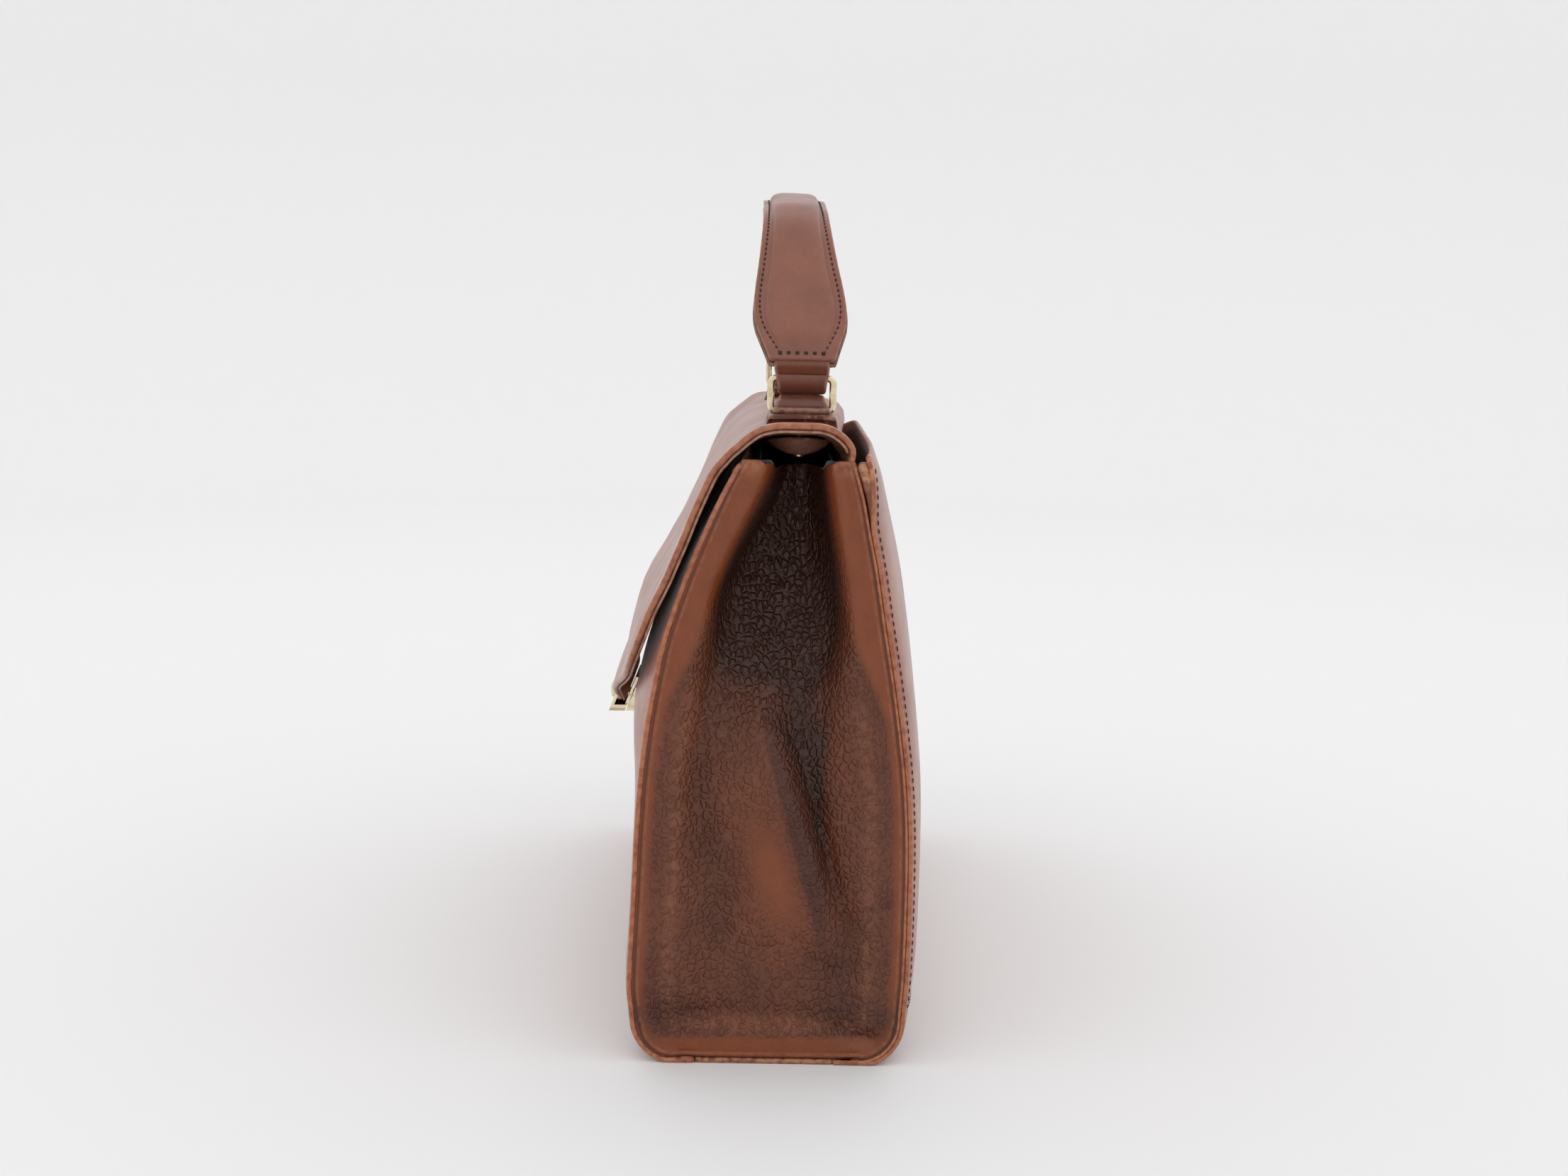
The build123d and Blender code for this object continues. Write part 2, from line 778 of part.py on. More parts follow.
def lock():
    """The lock on the front panel, its seat plate, inner backing plate and rivets, and their holes."""
    top, low = lock_top(), lock_top() - lock_height
    half = lock_width / 2
    margin = lock_plate_margin
    front = window(-BIG, 0, low, top)
    backing = layer(inner_inset + glue_line, inner_inset + glue_line + backing_thickness) & front
    seat = window(-BIG, 0, low - margin, top + margin)
    plate = layer(-lock_plate_thickness - glue_line, -glue_line) & seat
    start = -lock_plate_thickness - lock_rivet_grip
    end = inner_inset + backing_thickness + 3 * glue_line
    shanks = lock_bars(lock_rivet_radius, start, end)
    heads = lock_bars(rivet_head_radius, end, end + rivet_head)
    holes = lock_bars(lock_rivet_radius + glue_line, start - glue_line, end + rivet_head)
    nodes = {
        "lock_body": lock_body(low, top) - holes,
        "lock_plate": prism(plate, -half - margin, half + margin) - holes,
        "lock_backing_plate": prism(backing, -half, half) - holes,
        "lock_rivets": Compound([join(a, b) for a, b in zip(shanks, heads)]),
    }
    return nodes, holes


def build():
    """Every node of the briefcase by name."""
    nodes = {**panels(), **boards(), **linings(), **gussets(), **pocket(), **flap()}
    lock_nodes, holes = lock()
    for name in ("front_panel", "front_board", "front_lining"):
        nodes[name] = nodes[name] - holes
    nodes.update(lock_nodes)
    nodes.update(clasp())
    nodes.update(handle())
    nodes["crown_bar"] = crown_bar()
    nodes["tab_rivets"] = tab_rivets()
    for side, name in ((-1, "left"), (1, "right")):
        nodes["ring_" + name] = ring(side * ring_place)
        nodes["ring_tab_" + name] = tab(side * ring_place)
    return nodes


os.makedirs("parts", exist_ok=True)
for node_name, shape in build().items():
    export_step(shape, os.path.join("parts", node_name + ".step"))
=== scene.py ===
"""A flap-over leather briefcase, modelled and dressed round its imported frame.

Sizes in the classes are millimetres in the row frame: X along the case, -Y to the front, +Z up.
"""

import json
import logging
import math
from dataclasses import dataclass, field, replace
from enum import Enum
from typing import Sequence

import bpy
import numpy as np
from mathutils import Matrix, Vector, noise


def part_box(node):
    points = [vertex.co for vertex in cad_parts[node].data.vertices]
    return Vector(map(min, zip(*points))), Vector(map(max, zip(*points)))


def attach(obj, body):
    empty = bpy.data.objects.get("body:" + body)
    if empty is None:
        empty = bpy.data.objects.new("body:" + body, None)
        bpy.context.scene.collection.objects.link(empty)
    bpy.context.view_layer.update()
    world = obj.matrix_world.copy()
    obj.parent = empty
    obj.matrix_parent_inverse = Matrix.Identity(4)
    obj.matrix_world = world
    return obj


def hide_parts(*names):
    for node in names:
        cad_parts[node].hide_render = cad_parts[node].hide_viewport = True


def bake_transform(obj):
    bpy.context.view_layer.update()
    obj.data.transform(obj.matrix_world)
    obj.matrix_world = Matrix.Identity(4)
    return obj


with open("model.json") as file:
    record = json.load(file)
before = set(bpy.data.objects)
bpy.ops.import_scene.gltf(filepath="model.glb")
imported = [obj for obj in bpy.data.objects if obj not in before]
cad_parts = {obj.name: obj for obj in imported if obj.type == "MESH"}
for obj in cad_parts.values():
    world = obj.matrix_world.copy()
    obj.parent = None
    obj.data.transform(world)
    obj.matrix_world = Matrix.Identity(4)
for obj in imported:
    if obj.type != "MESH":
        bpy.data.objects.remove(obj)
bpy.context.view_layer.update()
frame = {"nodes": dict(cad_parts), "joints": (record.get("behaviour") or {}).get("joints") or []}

logging.basicConfig(level=logging.INFO, format="%(message)s")
log = logging.getLogger("briefcase")

MM = 0.001
Array = np.ndarray
Socket = bpy.types.NodeSocket


class Body(Enum):
    """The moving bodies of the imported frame."""

    CASE = "case"
    FLAP = "flap"
    RING_LEFT = "ring_left"
    RING_RIGHT = "ring_right"
    HANDLE = "handle"
    KNOB = "knob"


class Slot(Enum):
    """The record's material slots."""

    GRAINED = "grained_leather"
    PEBBLED = "pebbled_leather"
    SMOOTH = "smooth_leather"
    FLAP_LINING = "flap_lining_leather"
    CLOTH = "lining_cloth"
    BOARD = "board"
    FILLER = "filler"
    GOLD = "gold_plate"


# ---------------------------------------------------------------- finishes


def srgb(code: str) -> tuple[float, float, float, float]:
    """Turns an sRGB hex colour to linear light.

    Args:
        code: The colour as "#rrggbb".

    Returns:
        Linear red, green, blue and an alpha of 1.
    """
    parts = [int(code[i : i + 2], 16) / 255 for i in (1, 3, 5)]
    lit = [c / 12.92 if c <= 0.04045 else ((c + 0.055) / 1.055) ** 2.4 for c in parts]
    return (lit[0], lit[1], lit[2], 1.0)


def add_node(tree: bpy.types.NodeTree, kind: str, settings: dict | None = None,
             links: dict | None = None) -> bpy.types.Node:
    """Adds a node with its settings and incoming links.

    Args:
        tree: The node tree that gets the node.
        kind: The node's Blender type name.
        settings: Values by property name, input name or input number.
        links: Output sockets by the input name or number that they feed.

    Returns:
        The new node.
    """
    node = tree.nodes.new(kind)
    inputs = (settings or {}).items()
    for key, value in sorted(inputs, key=lambda item: not isinstance(item[0], str)):
        if isinstance(key, int) or (key in node.inputs and not hasattr(node, key)):
            node.inputs[key].default_value = value
        else:
            setattr(node, key, value)
    for key, socket in (links or {}).items():
        tree.links.new(socket, node.inputs[key])
    return node


def blank(name: str) -> tuple[bpy.types.Material, bpy.types.NodeTree, Socket]:
    """A new material with an empty tree, and the object's own coordinates in metres.

    Args:
        name: Its name.

    Returns:
        The material, its tree and the coordinates.
    """
    material = bpy.data.materials.new(name)
    material.use_nodes = True
    tree = material.node_tree
    tree.nodes.clear()
    place = add_node(tree, "ShaderNodeTexCoord").outputs["Object"]
    return material, tree, place


def ramp(tree: bpy.types.NodeTree, value: Socket, low: float, high: float,
         to_low: float = 0.0, to_high: float = 1.0) -> Socket:
    """A clamped, smooth change of value's range from low..high to to_low..to_high.

    Args:
        tree: The node tree.
        value: What changes.
        low: The value where the change begins.
        high: The value where it ends.
        to_low: The result at low.
        to_high: The result at high.

    Returns:
        The result.
    """
    settings = {"interpolation_type": "SMOOTHSTEP", "From Min": low, "From Max": high,
                "To Min": to_low, "To Max": to_high}
    return add_node(tree, "ShaderNodeMapRange", settings, {"Value": value}).outputs["Result"]


def mix(tree: bpy.types.NodeTree, share: Socket, a: Socket | tuple, b: Socket | tuple) -> Socket:
    """The colour between a and b by a share, where each is a socket or a colour.

    Args:
        tree: The node tree.
        share: How much of b shows.
        a: The first.
        b: The second.

    Returns:
        The colour.
    """
    settings, links = {"data_type": "RGBA"}, {0: share}
    for key, value in ((6, a), (7, b)):
        (links if isinstance(value, bpy.types.NodeSocket) else settings)[key] = value
    return add_node(tree, "ShaderNodeMix", settings, links).outputs[2]


def painted(tree: bpy.types.NodeTree, name: str) -> Socket:
    """The value that the mesh carries at each point under this name."""
    settings = {"attribute_type": "GEOMETRY", "attribute_name": name}
    return add_node(tree, "ShaderNodeAttribute", settings).outputs["Fac"]


def arithmetic(tree: bpy.types.NodeTree, operation: str, a: Socket | float,
               b: Socket | float = 0.0) -> Socket:
    """One maths step on two values, where each is a socket or a number.

    Args:
        tree: The node tree.
        operation: Blender's name for the step.
        a: The first.
        b: The second.

    Returns:
        The result.
    """
    settings, links = {"operation": operation}, {}
    for key, value in ((0, a), (1, b)):
        (links if isinstance(value, bpy.types.NodeSocket) else settings)[key] = value
    return add_node(tree, "ShaderNodeMath", settings, links).outputs["Value"]


def finished(tree: bpy.types.NodeTree, settings: dict, links: dict, relief: Socket | None = None,
             depth: float = 0.0, strength: float = 1.0) -> None:
    """Ends a material in its shader.

    Args:
        tree: The node tree.
        settings: The shader's plain values.
        links: What feeds its other inputs.
        relief: The height that the light sees, from 0 to 1.
        depth: How many millimetres 1 stands for.
        strength: The share of that relief which shows.
    """
    if relief is not None:
        bump = add_node(tree, "ShaderNodeBump", {"Strength": strength, "Distance": depth * MM},
                        {"Height": relief})
        links = {**links, "Normal": bump.outputs["Normal"]}
    shader = add_node(tree, "ShaderNodeBsdfPrincipled", settings, links)
    add_node(tree, "ShaderNodeOutputMaterial", links={"Surface": shader.outputs["BSDF"]})


def spots(tree: bpy.types.NodeTree, place: Socket, size: float, detail: float = 3.0,
          stretch: tuple[float, float, float] = (1, 1, 1), warp: float = 0.0) -> Socket:
    """Soft noise whose lumps are about this many millimetres across.

    Args:
        tree: The node tree.
        place: Coordinates in metres.
        size: The width of a lump in millimetres.
        detail: Octaves of finer noise.
        stretch: How many times longer the lumps are along each axis.
        warp: How far the noise is folded on itself.

    Returns:
        A value from 0 to 1.
    """
    scale = tuple(1000 / (size * s) for s in stretch)
    scaled = add_node(tree, "ShaderNodeMapping", {"Scale": scale}, {"Vector": place})
    settings = {"Scale": 1.0, "Detail": detail, "Distortion": warp}
    return add_node(tree, "ShaderNodeTexNoise", settings,
                    {"Vector": scaled.outputs["Vector"]}).outputs["Fac"]


@dataclass(frozen=True)
class Leather:
    """Drum-dyed calf, embossed or tumbled: a domed grain under a thin clear finish.

    A point's colour goes from base to deep by the mesh's "dirt", which holds old dye and painted shade,
    and to worn by its "wear", where rubbing lifts the dye from edges and painted highlights lie.
    Where the hide is stretched it is smooth and warmer, and a painted highlight lightens it, by the
    mesh's "taut".
    """

    name: str
    tints: tuple[str, str]
    deep: str
    worn: str
    grain: float
    stretch: tuple[float, float, float]
    relief: float
    roughness: float
    warm: str = "#000000"
    cloud: float = 28.0
    mottle: float = 0.3
    crease: str = "#000000"
    crease_share: float = 0.0
    coat: float = 0.0
    bloom: float = 0.0
    wobble: float = 0.3
    shine: float = 0.5

    def pebbles(self, tree: bpy.types.NodeTree, place: Socket, taut: Socket) -> tuple[Socket, Socket]:
        """Domed cells a grain wide.

        Args:
            tree: The node tree.
            place: Coordinates in metres.
            taut: How far the grain is stretched flat, also under a painted highlight.

        Returns:
            The relief from 0 in the creases to 1 on the domes, and the domes without fine grain.
        """
        wobble = add_node(tree, "ShaderNodeTexNoise", {"Scale": 1000 / (self.grain * 2.2),
                          "Detail": 2.0}, {"Vector": place}).outputs["Color"]
        drift = {"operation": "MULTIPLY_ADD", 1: (self.grain * MM * self.wobble,) * 3}
        shift = add_node(tree, "ShaderNodeVectorMath", drift,
                         {0: wobble, 2: place}).outputs["Vector"]
        scale = tuple(1000 / (self.grain * s) for s in self.stretch)
        cells = add_node(tree, "ShaderNodeMapping", {"Scale": scale}, {"Vector": shift})
        edge = add_node(tree, "ShaderNodeTexVoronoi", {"feature": "DISTANCE_TO_EDGE", "Scale": 1.0},
                        {"Vector": cells.outputs["Vector"]}).outputs["Distance"]
        dome = ramp(tree, edge, 0.0, 0.26)
        flat = arithmetic(tree, "MULTIPLY", dome, ramp(tree, taut, 0.0, 1.0, 1.0, 0.12))
        fine = spots(tree, place, self.grain * 0.28, 2.0)
        total = add_node(tree, "ShaderNodeMath", {"operation": "MULTIPLY_ADD", 1: 0.3},
                         {0: fine, 2: flat}).outputs["Value"]
        return total, dome

    def build(self) -> bpy.types.Material:
        """The finished material.

        Returns:
            The finished material.
        """
        material, tree, place = blank(self.name)
        taut = painted(tree, "taut")
        relief, dome = self.pebbles(tree, place, taut)
        cloud = ramp(tree, spots(tree, place, self.cloud, 4.0), 0.32, 0.72)
        colour = mix(tree, cloud, srgb(self.tints[0]), srgb(self.tints[1]))
        # stretched hide and painted highlight turn the colour warmer and lighter
        if self.warm != "#000000":
            colour = mix(tree, taut, colour, srgb(self.warm))
        mottle = ramp(tree, spots(tree, place, self.grain * 3.0, 3.0), 0.35, 0.75, 0.0, self.mottle)
        colour = mix(tree, mottle, colour, srgb(self.deep))
        if self.crease_share:
            valley = ramp(tree, dome, 0.55, 0.0, 0.0, self.crease_share)
            valley = arithmetic(tree, "MULTIPLY", valley, ramp(tree, taut, 0.0, 1.0, 1.0, 0.3))
            colour = mix(tree, valley, colour, srgb(self.crease))
        # old dye and painted shade pull the colour to the deep one
        colour = mix(tree, painted(tree, "dirt"), colour, srgb(self.deep))
        # rubbing and painted highlight pull the colour to the worn one
        rub = arithmetic(tree, "MULTIPLY", painted(tree, "wear"),
                         ramp(tree, spots(tree, place, 3.0, 4.0), 0.3, 0.62))
        colour = mix(tree, rub, colour, srgb(self.worn))
        gloss = ramp(tree, cloud, 0.0, 1.0, self.roughness - 0.05, self.roughness + 0.07)
        settings = {"IOR": 1.5, "Coat Weight": self.coat, "Coat Roughness": 0.3,
                    "Specular IOR Level": self.shine, "Sheen Weight": self.bloom,
                    "Sheen Roughness": 0.25}
        finished(tree, settings, {"Base Color": colour, "Roughness": gloss}, relief, self.relief)
        return material


@dataclass(frozen=True)
class Cloth:
    """Woven lining: matt, with fine ribs both ways that break up its shine."""

    name: str
    base: str
    deep: str
    thread: float
    roughness: float

    def build(self) -> bpy.types.Material:
        """The finished material.

        Returns:
            The finished material.
        """
        material, tree, place = blank(self.name)
        ridges = []
        for axis in ("X", "Z"):
            settings = {"bands_direction": axis, "Scale": 1000 / (self.thread * 2 * math.pi),
                        "Distortion": 0.4, "Detail": 1.0}
            wave = add_node(tree, "ShaderNodeTexWave", settings, {"Vector": place})
            ridges.append(wave.outputs["Fac"])
        weave = arithmetic(tree, "MULTIPLY", ridges[0], ridges[1])
        colour = mix(tree, ramp(tree, spots(tree, place, 30, 3.0), 0.3, 0.7),
                     srgb(self.base), srgb(self.deep))
        colour = mix(tree, painted(tree, "dirt"), colour, srgb(self.deep))
        finished(tree, {"Roughness": self.roughness, "Sheen Weight": 0.3}, {"Base Color": colour},
                 weave, 0.15, 0.6)
        return material


@dataclass(frozen=True)
class Plate:
    """Brass fittings electroplated in pale gold and polished: clear reflections, faint rubbing."""

    name: str
    base: str
    rubbed_and_sheen: str
    roughness: float

    def build(self) -> bpy.types.Material:
        """The finished material.

        Returns:
            The finished material.
        """
        material, tree, place = blank(self.name)
        haze = ramp(tree, spots(tree, place, 4.0, 4.0, (1, 3, 1)), 0.35, 0.7)
        colour = mix(tree, haze, srgb(self.base), srgb(self.rubbed_and_sheen))
        gloss = ramp(tree, haze, 0.0, 1.0, self.roughness, self.roughness + 0.12)
        finished(tree, {"Metallic": 1.0}, {"Base Color": colour, "Roughness": gloss},
                 spots(tree, place, 0.8, 2.0), 0.05, 0.15)
        return material


@dataclass(frozen=True)
class Matt:
    """A plain dull stuff with soft blotches: greyboard, painted floor."""

    name: str
    base: str
    deep: str
    blotch: float
    roughness: float

    def build(self) -> bpy.types.Material:
        """The finished material.

        Returns:
            The finished material.
        """
        material, tree, place = blank(self.name)
        share = ramp(tree, spots(tree, place, self.blotch, 4.0), 0.3, 0.7)
        colour = mix(tree, share, srgb(self.base), srgb(self.deep))
        finished(tree, {"Roughness": self.roughness}, {"Base Color": colour})
        return material


@dataclass
class Finishes:
    """Every finish of the briefcase, each made once."""

    grained: bpy.types.Material = field(init=False)
    pebbled: bpy.types.Material = field(init=False)
    smooth: bpy.types.Material = field(init=False)
    rim: bpy.types.Material = field(init=False)
    lining_leather: bpy.types.Material = field(init=False)
    cloth: bpy.types.Material = field(init=False)
    gold: bpy.types.Material = field(init=False)
    thread: bpy.types.Material = field(init=False)
    board: bpy.types.Material = field(init=False)

    def __post_init__(self) -> None:
        """Builds the materials."""
        # Plate-embossed pores 1.1 mm apart, coarser than the real ones so that they show: satin tan.
        self.grained = Leather(
            "embossed_grain_calf", ("#9c5130", "#8c4527"), "#552a18", "#bf8058", 1.1, (2.4, 1, 1),
            0.10, 0.42, mottle=0.2, coat=0.35, bloom=0.3, shine=0.45).build()
        # Drum-tumbled pebbles 3 mm wide: a broken shine, and a deep colour that also paints the shade
        # in the folds.
        self.pebbled = Leather(
            "tumbled_pebble_calf", ("#683720", "#5b2f1d"), "#371b10", "#a0684a", 3.0,
            (1, 0.9, 1.25), 0.6, 0.38, warm="#7f401f", crease="#8a5636", crease_share=0.1,
            mottle=0.15, wobble=0.08, shine=0.4).build()
        # Glazed by rolling under glass: close, plain and a shade redder, for straps and handle.
        self.smooth = Leather(
            "glazed_bridle_calf", ("#88503b", "#7a4632"), "#401f16", "#b28670", 0.8, (1.6, 1, 1),
            0.03, 0.38, mottle=0.1, coat=0.15).build()
        # A turned edge, pared thin and rubbed: pale wear along the fold.
        self.rim = Leather(
            "turned_edge_calf", ("#84492f", "#743f28"), "#3d1c10", "#b98560", 0.9, (1, 1, 1.6),
            0.05, 0.42).build()
        # Skived thin and left without a top finish: dull and pinkish.
        self.lining_leather = Leather(
            "skived_lining_calf", ("#8f5c46", "#7d4c39"), "#3a1f15", "#b08872", 0.8, (1, 1, 1),
            0.04, 0.5).build()
        # Threads 0.6 mm apart, about twice the real spacing so that they show: flat dark grey.
        self.cloth = Cloth("woven_twill_lining", "#55545a", "#333238", 0.6, 0.9).build()
        # A pale plated layer over polished brass: sharp reflections, hazed by handling.
        self.gold = Plate("pale_gold_electroplate", "#ecdcbb", "#e0cda6", 0.16).build()
        # Waxed linen: dark, rounded and slightly shiny.
        self.thread = Leather(
            "waxed_linen_thread", ("#38190f", "#2c130c"), "#1c0c07", "#7d5742", 0.4, (1, 1, 1),
            0.05, 0.55).build()
        # Pressed grey fibre: dull, hidden inside the walls.
        self.board = Matt("pressed_greyboard", "#8c8375", "#766d60", 6.0, 0.9).build()


# ---------------------------------------------------------------- meshes


def smoothstep(t: Array | float) -> Array | float:
    """A clamped smooth step from 0 to 1."""
    t = np.clip(t, 0, 1)
    return t * t * (3 - 2 * t)


def unit(v: Array) -> Array:
    """Vectors scaled to length 1."""
    return v / np.maximum(np.linalg.norm(v, axis=-1, keepdims=True), 1e-9)


def eased(values: Sequence[float], stops: Sequence[float], at: Array) -> Array:
    """A smooth curve through a few stops, by monotone cubic pieces.

    Args:
        values: The curve's values at the stops.
        stops: Where the stops are, rising.
        at: Where the curve is wanted.

    Returns:
        The curve's values.
    """
    x, y = np.asarray(stops, float), np.asarray(values, float)
    slope = np.diff(y) / np.diff(x)
    grade = np.concatenate([[slope[0]], (slope[1:] + slope[:-1]) / 2, [slope[-1]]])
    grade[1:-1][slope[1:] * slope[:-1] <= 0] = 0
    at = np.clip(at, x[0], x[-1])
    i = np.clip(np.searchsorted(x, at, side="right") - 1, 0, len(x) - 2)
    h = x[i + 1] - x[i]
    t = (at - x[i]) / h
    a, b = (1 + 2 * t) * (1 - t) ** 2, t * t * (3 - 2 * t)
    return a * y[i] + b * y[i + 1] + h * (t * (1 - t) ** 2 * grade[i] - t * t * (1 - t) * grade[i + 1])


def ripple(points: Array, size: float, seed: float = 0.0) -> Array:
    """Smooth noise from -1 to 1 with lumps of this size in millimetres at each point."""
    flat = points.reshape(-1, 3) / size + seed
    return np.array([noise.noise(Vector(p)) for p in flat]).reshape(points.shape[:-1])


def make_object(name: str, points: Array, faces: list, material: bpy.types.Material,
                paint: dict[str, Array] | None = None) -> bpy.types.Object:
    """A smooth mesh object from points in millimetres.

    Args:
        name: The piece's name.
        points: The points, one row each.
        faces: Corner numbers of each face.
        material: Its finish.
        paint: Values at the points, by the name that the material reads.

    Returns:
        The linked object.
    """
    mesh = bpy.data.meshes.new(name)
    mesh.from_pydata((np.asarray(points, float) * MM).tolist(), [], faces)
    mesh.validate()
    mesh.shade_smooth()
    for key, values in (paint or {}).items():
        mesh.attributes.new(key, "FLOAT", "POINT").data.foreach_set(
            "value", np.asarray(values, np.float32).ravel())
    mesh.materials.append(material)
    obj = bpy.data.objects.new(name, mesh)
    bpy.context.scene.collection.objects.link(obj)
    return obj


def grid_normals(grid: Array) -> Array:
    """Unit normals of a grid of points."""
    return unit(np.cross(np.gradient(grid, axis=0), np.gradient(grid, axis=1)))


def spread(count: int, crowding: float = 1.25) -> Array:
    """Values from -1 to 1 that lie closer together towards both ends."""
    x = np.linspace(-1, 1, count)
    return np.sign(x) * (1 - (1 - np.abs(x)) ** crowding)


def border(rows: int, columns: int) -> list[tuple[int, int]]:
    """The places round a grid's edge, in order.

    Args:
        rows: How many rows.
        columns: How many columns.

    Returns:
        Rows and columns, as pairs.
    """
    loop = [(0, j) for j in range(columns - 1)]
    loop += [(i, columns - 1) for i in range(rows - 1)]
    loop += [(rows - 1, j) for j in range(columns - 1, 0, -1)]
    return loop + [(i, 0) for i in range(rows - 1, 0, -1)]


def quads_of(index: Array) -> Array:
    """The four-cornered faces of a grid of point numbers."""
    corners = (index[:-1, :-1], index[1:, :-1], index[1:, 1:], index[:-1, 1:])
    return np.stack(corners, -1).reshape(-1, 4)


def rolled_sheet(name: str, grid: Array, thickness: float, material: bpy.types.Material,
                 normals: Array | None = None, paint: dict[str, Array] | None = None,
                 wear: float | Sequence[float] = 0.5) -> bpy.types.Object:
    """A sheet with rounded edges about a grid of points at the middle of its thickness.

    Args:
        name: The piece's name.
        grid: Rows and columns of points in millimetres.
        thickness: The sheet's thickness.
        material: Its finish.
        normals: The sheet's normals, where the grid's own aren't good.
        paint: Values at the grid's points, by name.
        wear: How rubbed its edges are, as one value or one for each step round them.

    Returns:
        The sheet as a closed mesh object.
    """
    edge_wear = np.atleast_1d(wear)
    roll = max(5, len(edge_wear) + 1)
    rows, columns = grid.shape[:2]
    n = grid_normals(grid) if normals is None else normals
    half = thickness / 2
    loop = border(rows, columns)
    at = tuple(np.array(loop).T)
    rim, up = grid[at], n[at]
    along = unit(np.roll(rim, -1, 0) - np.roll(rim, 1, 0))
    out = unit(np.cross(along, up))
    inward = grid[rows // 2, columns // 2] - rim
    if np.sum(np.einsum("ij,ij->i", out, inward)) > 0:
        out = -out
    points = [(grid + n * half).reshape(-1, 3), (grid - n * half).reshape(-1, 3)]
    for k in range(1, roll):
        a = math.pi * k / roll
        points.append(rim + half * (out * math.sin(a) + up * math.cos(a)))
    count = rows * columns
    index = np.arange(count).reshape(rows, columns)
    quads = quads_of(index)
    faces = quads.tolist() + (quads[:, ::-1] + count).tolist()
    edge = index[at]
    rings = [edge] + [2 * count + k * len(loop) + np.arange(len(loop)) for k in range(roll - 1)]
    rings.append(edge + count)
    for upper, lower in zip(rings, rings[1:]):
        strip = np.stack([upper, np.roll(upper, -1), np.roll(lower, -1), lower], -1)
        faces += strip.tolist()
    carried = {}
    for key in sorted({"wear", "dirt", *(paint or {})}):
        flat = np.zeros(count) if key not in (paint or {}) else paint[key].ravel()
        tail = np.tile(flat[edge], roll - 1)
        if key == "wear":
            steps = edge_wear if len(edge_wear) > 1 else edge_wear.repeat(roll - 1)
            tail = np.maximum(tail, np.repeat(steps, len(loop)))
        carried[key] = np.concatenate([flat, flat, tail])
    return make_object(name, np.concatenate(points), faces, material, carried)


def swept(name: str, centres: Array, across: Array, up: Array, profile: Array,
          material: bpy.types.Material, wear: Array | None = None) -> bpy.types.Object:
    """A closed profile carried along a path.

    Args:
        name: The piece's name.
        centres: The path's points.
        across: The direction of the profile's first axis at each point.
        up: The direction of its second axis at each point.
        profile: The profile's points, in order round it, for every path point or for all.
        material: Its finish.
        wear: How rubbed each point of the profile is.

    Returns:
        The swept bar as a closed mesh object.
    """
    count = len(centres)
    loops = np.broadcast_to(profile, (count, *profile.shape[-2:]))
    points = (centres[:, None] + loops[..., :1] * across[:, None] + loops[..., 1:] * up[:, None])
    n = points.shape[1]
    index = np.arange(count * n).reshape(count, n)
    turned = np.roll(index, -1, 1)
    faces = np.stack([index[:-1], turned[:-1], turned[1:], index[1:]], -1).reshape(-1, 4).tolist()
    faces += [index[0, ::-1].tolist(), index[-1].tolist()]
    paint = {"wear": np.tile(wear, count)} if wear is not None else {"wear": np.zeros(count * n)}
    return make_object(name, points.reshape(-1, 3), faces, material, paint)


def oblong(width: float, height: float, corner: float, steps: int = 4) -> Array:
    """A rounded rectangle's points, in order round it.

    Args:
        width: Its width.
        height: Its height.
        corner: The radius of its corners.
        steps: Faces round each corner.

    Returns:
        The points.
    """
    points = []
    for k, (sx, sy) in enumerate(((1, 1), (-1, 1), (-1, -1), (1, -1))):
        for i in range(steps + 1):
            a = math.pi / 2 * (k + i / steps)
            points.append((sx * (width / 2 - corner) + corner * math.cos(a),
                           sy * (height / 2 - corner) + corner * math.sin(a)))
    return np.array(points)


def travelled(path: Array) -> Array:
    """The distance along a path to each of its points."""
    return np.concatenate([[0], np.cumsum(np.linalg.norm(np.diff(path, axis=0), axis=1))])


def resampled(path: Array, spacing: float) -> tuple[Array, Array]:
    """Evenly spaced points on a path in the plane or in space, and their shares along it.

    Args:
        path: The path.
        spacing: About how far apart they lie.

    Returns:
        The points, and each one's share of the path's length.
    """
    run = travelled(path)
    count = max(2, int(round(run[-1] / spacing)) + 1)
    at = np.linspace(0, run[-1], count)
    return np.stack([np.interp(at, run, column) for column in path.T], -1), at / run[-1]


def ruled(x: Array, profile: Array) -> Array:
    """A grid of points that repeats a profile of (Y, Z) points at each x.

    Args:
        x: Places along the case.
        profile: The (Y, Z) points.

    Returns:
        The grid.
    """
    grid = np.zeros((len(profile), x.size, 3))
    grid[..., 0] = x[None]
    grid[..., 1:] = profile[:, None]
    return grid


